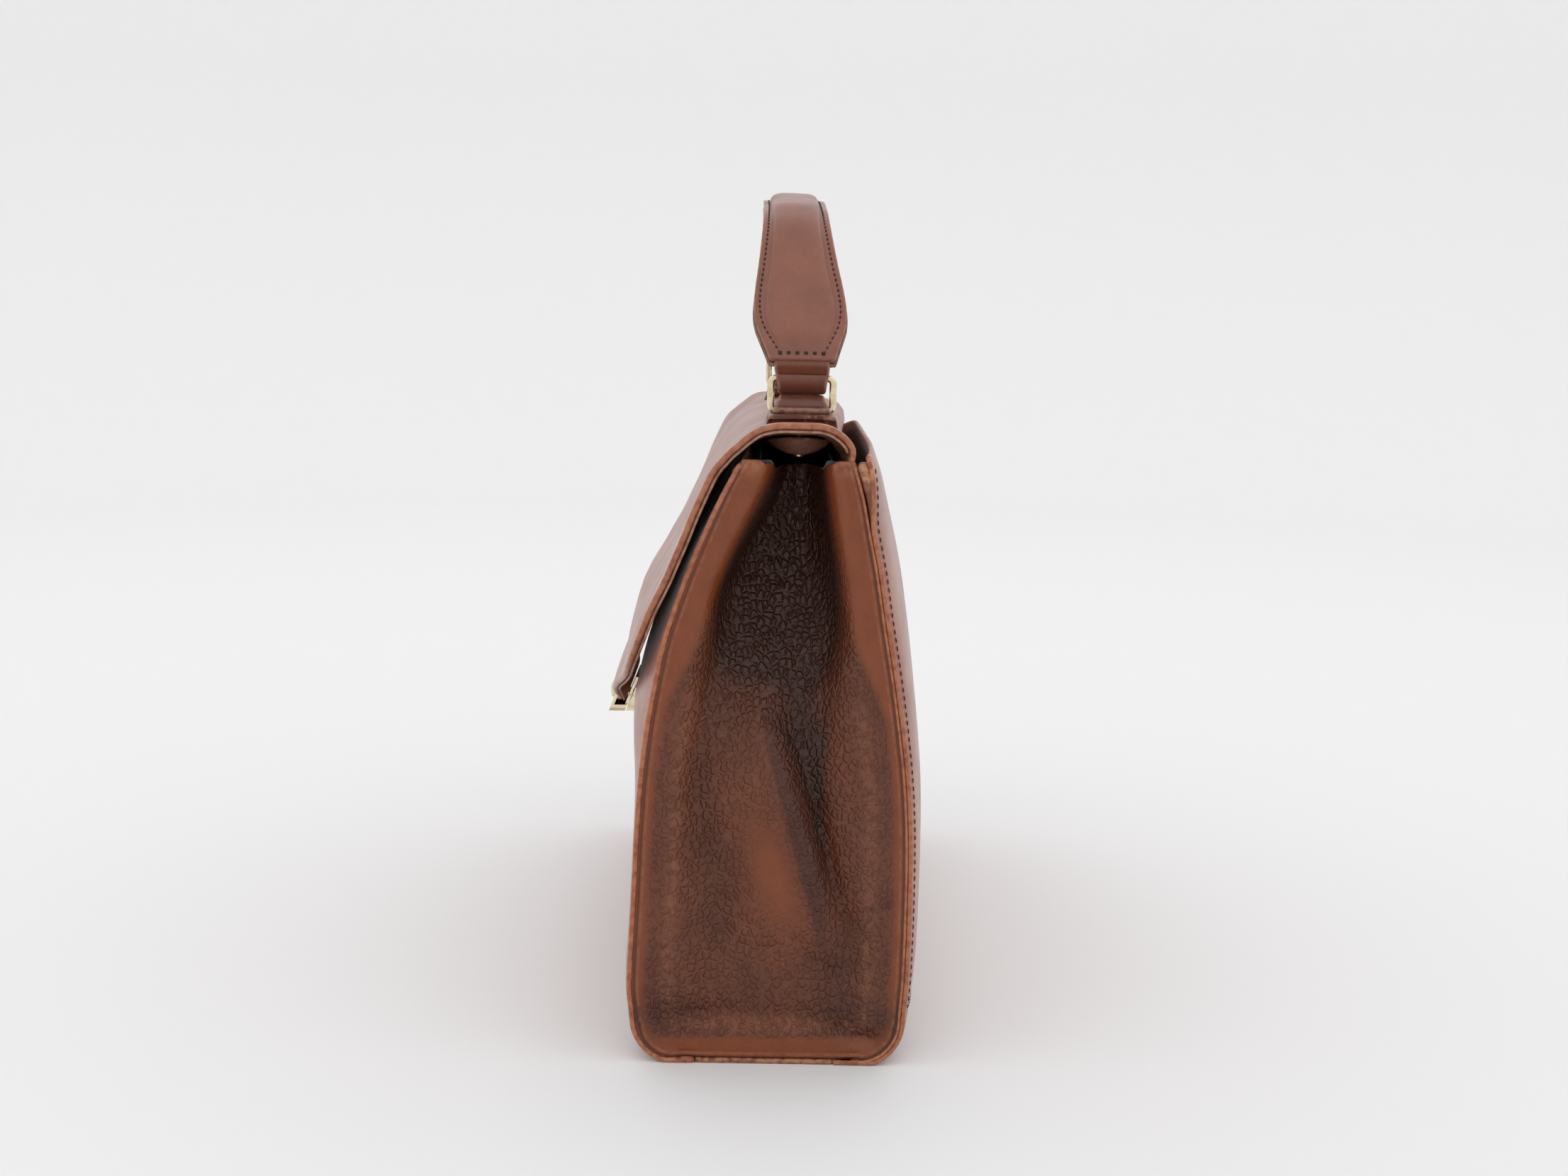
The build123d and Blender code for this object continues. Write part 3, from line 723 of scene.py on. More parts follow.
@dataclass(frozen=True)
class Stitching:
    """A row of saddle stitches: short capsules of thread whose ends dip into the leather."""

    pitch: float = 3.6
    length: float = 2.7
    radius: float = 0.32
    slant: float = 0.0
    sides: int = 6

    def sew(self, name: str, path: Array, normals: Array,
            material: bpy.types.Material) -> bpy.types.Object:
        """Sews along a path.

        Args:
            name: The piece's name.
            path: Points along the row.
            normals: The leather's outward direction at each point.
            material: The thread's finish.

        Returns:
            All the stitches as one object.
        """
        spots_, share = resampled(path, self.pitch)
        source = travelled(path)
        source /= source[-1]
        up = unit(np.stack([np.interp(share, source, normals[:, k]) for k in range(3)], -1))
        along = unit(np.gradient(spots_, axis=0))
        side = unit(np.cross(along, up))
        along = unit(along * math.cos(self.slant) + side * math.sin(self.slant))
        side = unit(np.cross(along, up))
        stations = ((-0.5, 0.35, -0.9), (-0.34, 0.9, 0.1), (0, 1, 0.45), (0.34, 0.9, 0.1),
                    (0.5, 0.35, -0.9))
        points, faces = [], []
        for c, t, u, s in zip(spots_, along, up, side):
            first = len(points)
            for place, girth, lift in stations:
                for k in range(self.sides):
                    a = 2 * math.pi * k / self.sides
                    r = self.radius * girth
                    points.append(c + t * place * self.length
                                  + u * (self.radius * lift + r * math.sin(a)) + s * r * math.cos(a))
            n = self.sides
            for j in range(len(stations) - 1):
                for k in range(n):
                    a, b = first + j * n + k, first + j * n + (k + 1) % n
                    faces.append((a, b, b + n, a + n))
            faces.append(tuple(first + k for k in range(n))[::-1])
            faces.append(tuple(first + (len(stations) - 1) * n + k for k in range(n)))
        return make_object(name, np.array(points), faces, material)


@dataclass(frozen=True)
class Fold:
    """A soft ridge or furrow along a line on a wall.

    Each stop is y, z, height (below 0 for a furrow), and the half-widths on the front side and
    on the back side of the line, as it runs downwards.
    """

    stops: tuple[tuple[float, float, float, float, float], ...]

    def height(self, y: Array, z: Array) -> Array:
        """How far the fold lifts each point of the wall.

        Args:
            y: How far back each point lies.
            z: Its height.

        Returns:
            The lift, below 0 in a furrow.
        """
        nearest, out = np.full(y.shape, np.inf), np.zeros(y.shape)
        for a, b in zip(self.stops, self.stops[1:]):
            dy, dz = b[0] - a[0], b[1] - a[1]
            t = np.clip(((y - a[0]) * dy + (z - a[1]) * dz) / (dy * dy + dz * dz), 0, 1)
            off = np.hypot(y - a[0] - t * dy, z - a[1] - t * dz)
            before = (y - a[0]) * dz - (z - a[1]) * dy > 0
            lift, near, far = (a[k] + (b[k] - a[k]) * t for k in (2, 3, 4))
            value = lift * np.exp(-((off / np.where(before, near, far)) ** 2))
            out = np.where(off < nearest, value, out)
            nearest = np.minimum(nearest, off)
        return out


def blurred(field_: Array, passes: int) -> Array:
    """A grid of values, averaged with its neighbours a few times.

    Args:
        field_: The values.
        passes: How many times.

    Returns:
        The smoothed values.
    """
    for _ in range(passes):
        p = np.pad(field_, 1, mode="edge")
        field_ = (p[:-2, 1:-1] + p[2:, 1:-1] + p[1:-1, :-2] + p[1:-1, 2:] + 4 * p[1:-1, 1:-1]) / 8
    return field_


def dress(obj: bpy.types.Object, body: Body, slot: Slot, *nodes: str) -> bpy.types.Object:
    """Makes a piece ride on a body, in place of these CAD nodes.

    Args:
        obj: The piece.
        body: The body that carries it.
        slot: Not used.
        nodes: The CAD nodes it stands for.

    Returns:
        The piece.
    """
    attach(obj, body.value)
    if nodes:
        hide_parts(*nodes)
    log.info("%-28s %6d faces on %s", obj.name, len(obj.data.polygons), body.value)
    return obj


# ---------------------------------------------------------------- the case


@dataclass(frozen=True)
class Section:
    """The case's end outline: straight feet with round corners, and walls that lean in above."""

    half_depth: float
    mouth: float
    straight: float = 80.0
    front_lean: float = 44.0
    back_lean: float = 28.0
    corner: float = 18.0
    fullness: float = 0.0
    front_full: tuple[float, ...] = (0, 1.2, 2.4, 2.1, 1.2, 0.4, 0.5, 1.1, 2.2, 2.8, 3.6, 3.5,
                                     3.4, 3.4, 3.0)
    front_full_at: tuple[float, ...] = (8, 22, 34, 46, 66, 91, 106, 128, 158, 172, 187, 202,
                                        230, 245, 260)
    back_full: tuple[float, ...] = (0, 0.8, 1.8, 2.0, 1.6, 1.1, 0.5, 0.4, 0.8, 1.6, 2.1, 3.1, 3.3)
    back_full_at: tuple[float, ...] = (8, 22, 40, 100, 130, 145, 174, 189, 203, 218, 232, 246, 260)

    def fuller(self, side: int, z: Array | float) -> Array:
        """How far the ends of a wall are pressed out beyond the plain outline at a height.

        Args:
            side: -1 for the front and 1 for the back.
            z: The height.

        Returns:
            The distance.
        """
        if side < 0:
            return eased(self.front_full, self.front_full_at, z)
        return eased(self.back_full, self.back_full_at, z)

    def reach(self, side: int, z: Array | float, inset: float = 0.0) -> Array | float:
        """How far a wall stands from the middle plane at a height.

        Args:
            side: -1 for the front and 1 for the back.
            z: The height.
            inset: How far inside the outer face.

        Returns:
            The distance, above 0.
        """
        lean = self.front_lean if side < 0 else self.back_lean
        rise = self.mouth - self.straight
        radius = (rise**2 + lean**2) / (2 * lean)
        climb = np.maximum(np.asarray(z, float) - self.straight, 0)
        tall = self.half_depth - radius + np.sqrt((radius - inset) ** 2 - climb**2)
        dip = np.clip(self.corner - np.asarray(z, float), 0, self.corner - inset)
        full = self.fullness * self.fuller(side, z)
        return full + tall - (self.corner - inset) + np.sqrt((self.corner - inset) ** 2 - dip**2)

    def depth_in(self, y: Array, z: Array, inset: float) -> Array:
        """How far points lie inside the outline that is this far inside the outer face.

        Args:
            y: How far back each point lies.
            z: Its height.
            inset: How far inside the outer face.

        Returns:
            The distances.
        """
        side = np.minimum(y + self.reach(-1, z, inset), self.reach(1, z, inset) - y)
        foot = self.half_depth - self.corner
        corner = (self.corner - inset) - np.hypot(np.abs(y) - foot, self.corner - z)
        bent = (np.abs(y) > foot) & (z < self.corner)
        return np.where(bent, corner, np.minimum(side, z - inset))

    def outline(self, inset: float, spacing: float = 1.0) -> tuple[Array, Array]:
        """The outline from the front of the mouth, down round the base, to the back of it.

        Args:
            inset: How far inside the outer face.
            spacing: The distance between points.

        Returns:
            (Y, Z) points and their outward directions.
        """
        high = np.linspace(self.mouth, self.corner, 200)
        bend = self.corner - inset
        turn = np.radians(np.linspace(0, 90, 40))[1:]
        base = self.half_depth - self.corner
        front = np.stack([-self.reach(-1, high, inset), high], -1)
        front_corner = np.stack([-base - bend * np.cos(turn), self.corner - bend * np.sin(turn)], -1)
        back_corner = front_corner[::-1] * (-1, 1)
        back = np.stack([self.reach(1, high[::-1], inset), high[::-1]], -1)
        path = np.concatenate([front, front_corner, back_corner, back])
        points, _ = resampled(path, spacing)
        along = unit(np.gradient(points, axis=0))
        return points, np.stack([along[:, 1], -along[:, 0]], -1)


def filled(x: Array, half_length: float) -> Array:
    """How full a panel is along the case: 1 at its middle and 0 at its sewn ends."""
    return np.clip(1 - (x * 1.012 / half_length) ** 4, 0, 1) ** 0.7


@dataclass
class CaseShell:
    """The front, back and base leather, wrapped round the base's long corners."""

    section: Section
    half_length: float
    leather: float = 2.2
    front_seam: float = -32.0
    back_seam: float = 28.0
    swell: tuple[float, ...] = (0, 2.4, 4.6, 5.8, 5.2, 4.2, 3.6, 3.2, 3.8, 6.0, 9.0, 10.8, 9.8,
                                6.0, 3.0, 0.5, 0)
    swell_at: tuple[float, ...] = (2, 10, 18, 31, 44, 57, 70, 92, 109, 122, 134, 147, 176, 200,
                                   230, 245, 258)
    lock_height: float = 124.0
    edge_stand: float = 0.5
    back_leather: float = 1.2
    columns: int = 72

    def panel(self, start: int, stop: int, side: int, leather: float,
              inset: float) -> tuple[Array, dict[str, Array]]:
        """One panel's grid over a stretch of the outline.

        Args:
            start: The outline's first point in it.
            stop: The first point past it.
            side: -1 for the front, which bulges, 1 for the back and 0 for the base.
            leather: Its thickness.
            inset: How deep its middle lies inside the case's outer face.

        Returns:
            The grid and its paint.
        """
        path, out = self.section.outline(inset, 2.0)
        path, out = path[start:stop], out[start:stop]
        x = spread(self.columns) * (self.half_length - leather / 2)
        z = path[:, 1][:, None]
        middle = filled(x[None], self.half_length)
        at_lock = np.hypot(x[None] / 42, (z - self.lock_height) / 26)
        lift = eased(self.swell, self.swell_at, z) * (side < 0) * middle
        lift = lift * (0.08 + 0.92 * smoothstep((at_lock - 0.8) / 1.2))
        pressed = 0.0
        if side:
            pressed = side * self.section.fuller(side, z) * (1 - middle)
        grid = ruled(x, path)
        grid[..., 1:] += out[:, None] * lift[..., None]
        grid[..., 1] += pressed
        waves = 0.5 * ripple(grid, 70.0, 3.0) * np.minimum(lift, 1)
        grid[..., 1:] += waves[..., None] * out[:, None]
        grid[..., 2] = np.maximum(grid[..., 2], leather / 2)
        near_end = smoothstep((np.abs(grid[..., 0]) - self.half_length + 12) / 12)
        foot = smoothstep((26 - grid[..., 2]) / 26)
        return grid, {"wear": 0.5 * near_end + 0.25 * foot, "dirt": 0.25 * foot}

    def build(self, skins: Finishes) -> list[bpy.types.Object]:
        """The three panels.

        Args:
            skins: The finishes.

        Returns:
            The pieces.
        """
        path, _ = self.section.outline(self.leather / 2, 2.0)
        low = path[:, 1] < self.section.corner
        first = int(np.argmax(low & (path[:, 0] > self.front_seam)))
        last = int(np.argmax(low & (path[:, 0] > self.back_seam)))
        deep = self.leather - self.back_leather / 2
        proud = self.leather / 2 - self.edge_stand
        pieces = []
        for name, start, stop, side, leather, inset in (
            ("front_leather", 0, first, -1, self.leather, proud),
            ("back_leather", last, None, 1, self.back_leather, deep),
            ("base_leather", first, last, 0, self.leather, self.leather / 2),
        ):
            grid, paint = self.panel(start, stop, side, leather, inset)
            if name == "base_leather":
                grid[..., 0] *= 1 - 0.6 / self.half_length
                paint["dirt"] = paint["dirt"] + 0.45
            obj = rolled_sheet(name, grid, leather, skins.grained, paint=paint, wear=0.5)
            cad = name.replace("leather", "panel")
            pieces.append(dress(obj, Body.CASE, Slot.GRAINED, cad))
        return pieces


@dataclass(frozen=True)
class Crease:
    """A line that runs up an end wall: stops of height, Y and depth inside the wall's edge."""

    stops: tuple[tuple[float, float, float], ...]

    def at(self, z: Array) -> tuple[Array, Array]:
        """The line's Y and depth at these heights."""
        heights, places, depths = zip(*sorted(self.stops))
        return eased(places, heights, z), eased(depths, heights, z)


@dataclass
class Gusset:
    """An end wall: pebbled leather that folds inwards under the flap, inside a turned edge."""

    section: Section
    half_length: float
    edge_inset: float = 1.8
    stand: float = 0.5
    bead: float = 0.24
    bead_width: float = 1.9
    leather: float = 1.8
    cloth: float = 0.7
    cloth_inset: float = 6.6
    cloth_gap: float = 3.2
    mouth_sag: float = 3.6
    pitch: float = 1.2
    creases: tuple[Crease, ...] = (
        Crease(((12, -40, 0.9), (25, -38, 1.6), (39, -37, 1.4), (61, -38.8, 0.8), (79, -40.8, 0.3),
                (105, -42.8, 0.1), (123, -41.4, 0.1), (142, -39, 0.4), (159, -36, 0.9),
                (172, -33, 1.6), (189, -29.6, 3.0), (203, -27.4, 4.4), (215, -23, 5.0),
                (226, -18, 5.4), (236, -13, 5.6), (246, -8, 5.8), (258, -3.4, 6.0))),
        Crease(((12, -28, 1.0), (25, -26, 3.8), (40, -25, 4.6), (54, -21, 5.4), (80, -25, 6.4),
                (100, -29, 7.0), (116, -32, 7.2), (140, -31, 6.6), (160, -28.5, 8.6),
                (175, -26, 13), (190, -24, 19), (203, -21.5, 25), (215, -17, 30), (226, -12, 34),
                (240, -4, 38), (258, 2.5, 40))),
        Crease(((12, -8, 1.0), (25, -8, 3.6), (40, -6, 4.0), (60, -4, 3.0), (80, -8, 2.6),
                (110, -16, 3.0), (135, -20, 4.2), (160, -18, 11), (175, -14, 18), (190, -10, 26),
                (203, -8, 32), (226, -2, 40), (258, 6, 44))),
        Crease(((12, 10, 1.0), (25, 12, 3.4), (40, 20, 3.2), (60, 25, 1.8), (74, 22.5, 0.4),
                (90, 18, -0.8), (100, 15, -1.2), (112, 11, -1.4), (120, 8, -1.2), (132, 3.6, 0.2),
                (142, -0.6, 2.4), (152, -4, 6.4), (160, -4, 11), (175, 0, 20), (190, 3, 28),
                (203, 5, 34), (226, 8, 42), (258, 10, 46))),
        Crease(((12, 22, 1.1), (25, 24, 4.0), (40, 31, 4.6), (53, 35, 4.6), (66, 31.5, 5.6),
                (83, 26.5, 7.2), (96, 22.8, 8.2), (111, 19, 9.0), (128, 14.8, 9.4),
                (138, 12.6, 10.2), (150, 11, 12.6), (160, 11.5, 15.5), (175, 15, 20.5),
                (190, 20, 25), (203, 21, 29), (226, 18.5, 36), (258, 15.5, 41))),
        Crease(((12, 32, 1.1), (25, 34, 3.4), (40, 38, 3.2), (60, 40.5, 2.2), (71, 37, 2.2),
                (89, 33, 2.4), (106, 30, 3.0), (124, 26.5, 4.2), (140, 23.5, 7.0), (160, 21, 12),
                (175, 23, 17), (190, 26.5, 18), (203, 25.5, 21), (226, 22.6, 25), (258, 18.2, 30))),
        Crease(((12, 41, 1.0), (35, 41, 1.6), (58, 44.2, 1.0), (71, 42.4, 0.5), (89, 41, 0.2),
                (106, 39.8, 0.2), (124, 37.4, 0.4), (147, 32.4, 1.2), (164, 30.6, 2.2),
                (186, 31.8, 3.4), (194, 31.6, 3.8), (207, 29.4, 4.2), (219, 27.4, 4.6),
                (232, 25, 4.8), (249, 22.5, 5.0), (258, 21.4, 5.0))),
    )
    folds: tuple[Fold, ...] = (
        Fold(((-48, 20, -1.6, 5, 6), (-36, 22, -2.2, 5, 6), (-6, 21, -1.2, 5, 6),
              (20, 19, -1.4, 4, 5), (40, 13, -2.4, 5, 5), (46, 10, -1.4, 4, 4))),
        Fold(((-44, 17, -1.4, 2.4, 3), (-37, 16, -2.0, 2.4, 3), (-31, 19, -0.8, 2.4, 3))),
        Fold(((30, 15, -0.8, 2.4, 3), (38, 11, -2.0, 2.4, 3), (45, 12, -1.0, 2.4, 3))),
        Fold(((33, 66, -0.7, 1.6, 2.2), (39, 60, -1.1, 1.6, 2.2), (44, 50, -1.0, 1.6, 2.2),
              (43, 40, -0.4, 1.6, 2.2))),
        Fold(((-22, 60, -0.8, 2, 3), (-12, 52, -0.9, 2, 3), (0, 50, -0.5, 2, 3))),
        Fold(((8, 56, -0.5, 2, 3), (18, 47, -1.0, 2, 3), (30, 40, -0.9, 2, 3))),
    )

    def depth(self, y: Array, z: Array, inset: float) -> Array:
        """How far the wall lies inside its rim's face, for rows of points at even heights.

        Args:
            y: How far back each point lies.
            z: Its height.
            inset: How far inside the outer face.

        Returns:
            The depths.
        """
        heights = z[:, 0]
        lines = [crease.at(heights) for crease in self.creases]
        front = -self.section.reach(-1, heights, inset + self.bead_width + 1)
        back = self.section.reach(1, heights, inset + self.bead_width + 1)
        out = np.zeros(y.shape)
        for i in range(len(heights)):
            inner = [(float(at[i]), float(deep[i])) for at, deep in lines]
            stops = [(front[i] - 20, 0.3), (front[i], 0.3)]
            for at, deep in inner + [(back[i], 0.3), (back[i] + 20, 0.3)]:
                stops.append((max(at, stops[-1][0] + 0.6), deep))
            places, depths = zip(*stops)
            out[i] = eased(depths, places, y[i])
        return out

    def grid(self, hand: int, inset: float, back: float, seed: float) -> tuple[Array, Array, Array]:
        """The wall's grid of points.

        Args:
            hand: 1 for the right end and -1 for the left.
            inset: How far inside the outer face its edges lie.
            back: How far behind the leather's face the sheet lies.
            seed: Which wrinkles it gets.

        Returns:
            The grid, and each point's depth and distance from the edge.
        """
        top, low = self.section.mouth, inset + 0.2
        z = np.concatenate([np.arange(low, low + 5, 0.5), np.arange(low + 5, top, self.pitch), [top]])
        close = np.array([0, 0.5, 1, 1.5, 2, 2.5, 3, 3.6, 4.4])
        middle = np.linspace(0, 1, 110)
        front = -self.section.reach(-1, z, inset - 0.5)[:, None]
        rear = self.section.reach(1, z, inset - 0.7)[:, None]
        inner = front + 5.4 + (rear - front - 10.8) * middle[None]
        y = np.concatenate([front + close, inner, rear - close[::-1]], 1)
        zz = np.broadcast_to(z[:, None], y.shape)
        depth = blurred(self.depth(y, zz, inset), 4)
        for fold in self.folds:
            depth -= fold.height(y, zz)
        edge = self.section.depth_in(y, zz, inset)
        depth += self.bead * (smoothstep((edge - self.bead_width + 0.5) / 0.7))
        depth += 0.06 * np.exp(-(((edge - self.bead_width - 0.6) / 0.45) ** 2))
        place = np.stack([np.full(y.shape, float(hand)), y, zz], -1)
        soft = smoothstep((edge - 8) / 8)
        crumple = np.exp(-(((zz - 19) / 12) ** 2)) * smoothstep((np.abs(y) - 6) / 30)
        depth += soft * (0.4 * ripple(place, 17, seed) + 0.28 * ripple(place * (1, 1, 0.6), 6.5, seed))
        depth += soft * crumple * 1.2 * ripple(place, 4.2, seed + 5)
        creased = np.exp(-(((zz - 46) / 16) ** 2)) * np.exp(-(((y - 6) / 26) ** 2))
        slanted = place @ np.array([[1, 0, 0], [0, 0.25, 0.55], [0, -0.9, 1.3]]).T
        depth += 0.35 * creased * soft * ripple(slanted, 5.0, seed + 2)
        upper = smoothstep((zz - 150) / 30) * smoothstep((depth - 6) / 8)
        depth += 0.5 * upper * ripple(place * (1, 0.5, 1), 5.0, seed + 9)
        sag = smoothstep((depth - 5) / 16) - 0.5 * smoothstep((9 - edge) / 4)
        sag = self.mouth_sag * smoothstep((zz - top + 40) / 40) * sag
        grid = np.stack([hand * (self.half_length - self.stand - back - depth), y, zz - sag], -1)
        return grid, depth, edge

    def paint(self, y: Array, z: Array, depth: Array, edge: Array) -> dict[str, Array]:
        """Where the wall gets painted shade and painted highlight, and where it is rubbed and
        stretched.

        Args:
            y: How far back each point lies.
            z: Its height.
            depth: How far inside the rim's face it lies.
            edge: How far inside the outline it lies.

        Returns:
            The values by the name that the leather reads.
        """
        # the ridge slants back as it falls; painted shade darkens the wedge behind it
        slant = 2.0 + (118 - z) * 0.282
        wedge = smoothstep((y - slant - 0.5) / 2.5) * smoothstep((27 - y) / 6)
        wedge = 0.6 * wedge * smoothstep((z - 42) / 14) * smoothstep((165 - z) / 25)
        # painted shade darkens the deep fold, the furrows, the patch low at the back and the gap along
        # the seam; the band along the low crumple is darker too
        fold = smoothstep((depth - 9) / 13) * smoothstep((z - 120) / 45)
        furrow = 0.42 * smoothstep((depth - 3.4) / 5)
        low = 0.5 * np.exp(-(((z - 20) / 9) ** 2)) * smoothstep((np.abs(y + 4) - 18) / 20)
        foot = 0.4 * np.exp(-(((y - 30) / 14) ** 2) - ((z - 36) / 18) ** 2)
        seam = 0.9 * np.exp(-(((edge - 0.1) / 0.4) ** 2))
        # the hide is stretched smooth along the edges; a painted highlight lightens and warms the belly
        # beside the ridge
        belly_highlight = 0.95 * np.exp(-(((y - slant + 10) / 10) ** 2) - ((z - 84) / 27) ** 2)
        smooth_edge = 6.5 + 8 * smoothstep((z - 150) / 40)
        facet = smoothstep((smooth_edge - edge) / 5) + smoothstep((13 - z) / 3)
        # rubbing lightens the bead's line and the top of the edge; the ridges are rubbed and carry a
        # speckled painted highlight
        ridge = np.exp(-(((edge - 14) / 3) ** 2)) * smoothstep((175 - z) / 30)
        line = np.exp(-(((edge - 1.3) / 0.4) ** 2))
        lip = smoothstep((z - 254) / 6) * smoothstep((9 - edge) / 3)
        # painted shade and the darker low band, towards the deep colour
        dark = fold + furrow * (1 - belly_highlight) + low + foot + seam + wedge
        rubbed_and_sheen = 0.28 * ridge + 0.45 * line + 0.6 * lip
        return {"dirt": np.clip(dark, 0, 1), "wear": np.clip(rubbed_and_sheen, 0, 1),
                "taut": np.clip(facet + belly_highlight, 0, 1)}

    def build(self, skins: Finishes) -> list[bpy.types.Object]:
        """Both end walls, each with its cloth lining.

        Args:
            skins: The finishes.

        Returns:
            The pieces.
        """
        pieces = []
        for hand in (1, -1):
            side, seed = side_name(hand), 11.0 * hand
            inset = self.edge_inset + self.leather / 2
            grid, depth, edge = self.grid(hand, inset, self.leather / 2, seed)
            paint = self.paint(grid[..., 1], grid[..., 2], depth, edge)
            wall = rolled_sheet(f"gusset_wall_{side}", grid, self.leather, skins.pebbled,
                                paint=paint, wear=0.25)
            pieces.append(dress(wall, Body.CASE, Slot.PEBBLED, f"gusset_{side}"))
            back = self.leather + self.cloth_gap
            inner, _, _ = self.grid(hand, self.cloth_inset, back, seed)
            cloth = rolled_sheet(f"gusset_cloth_{side}", inner[2:], self.cloth, skins.cloth, wear=0)
            pieces.append(dress(cloth, Body.CASE, Slot.CLOTH, f"gusset_lining_{side}"))
        return pieces


def side_name(hand: int) -> str:
    """The name of the end at +X (1) or -X (-1)."""
    return "right" if hand > 0 else "left"


@dataclass
class Lining:
    """The twill bag inside the case: one slack sheet down the front, over the base and up."""

    section: Section
    half_length: float
    inset: float = 5.0
    thickness: float = 0.7
    end_gap: float = 9.5

    def build(self, skins: Finishes) -> list[bpy.types.Object]:
        """The lining as one sheet.

        Args:
            skins: The finishes.

        Returns:
            The pieces.
        """
        path, out = self.section.outline(self.inset, 3.0)
        x = np.linspace(-1, 1, 70) * (self.half_length - self.end_gap)
        grid = ruled(x, path)
        slack = 0.7 * (1 + ripple(grid, 46.0, 21.0)) + 0.3 * ripple(grid, 16.0, 8.0)
        grid[..., 1:] -= np.clip(slack, 0, 2)[..., None] * out[:, None]
        grid[..., 2] = np.minimum(grid[..., 2], self.section.mouth - 1)
        cloth = rolled_sheet("case_lining", grid, self.thickness, skins.cloth, wear=0)
        return [dress(cloth, Body.CASE, Slot.CLOTH, "front_lining", "back_lining", "base_lining")]


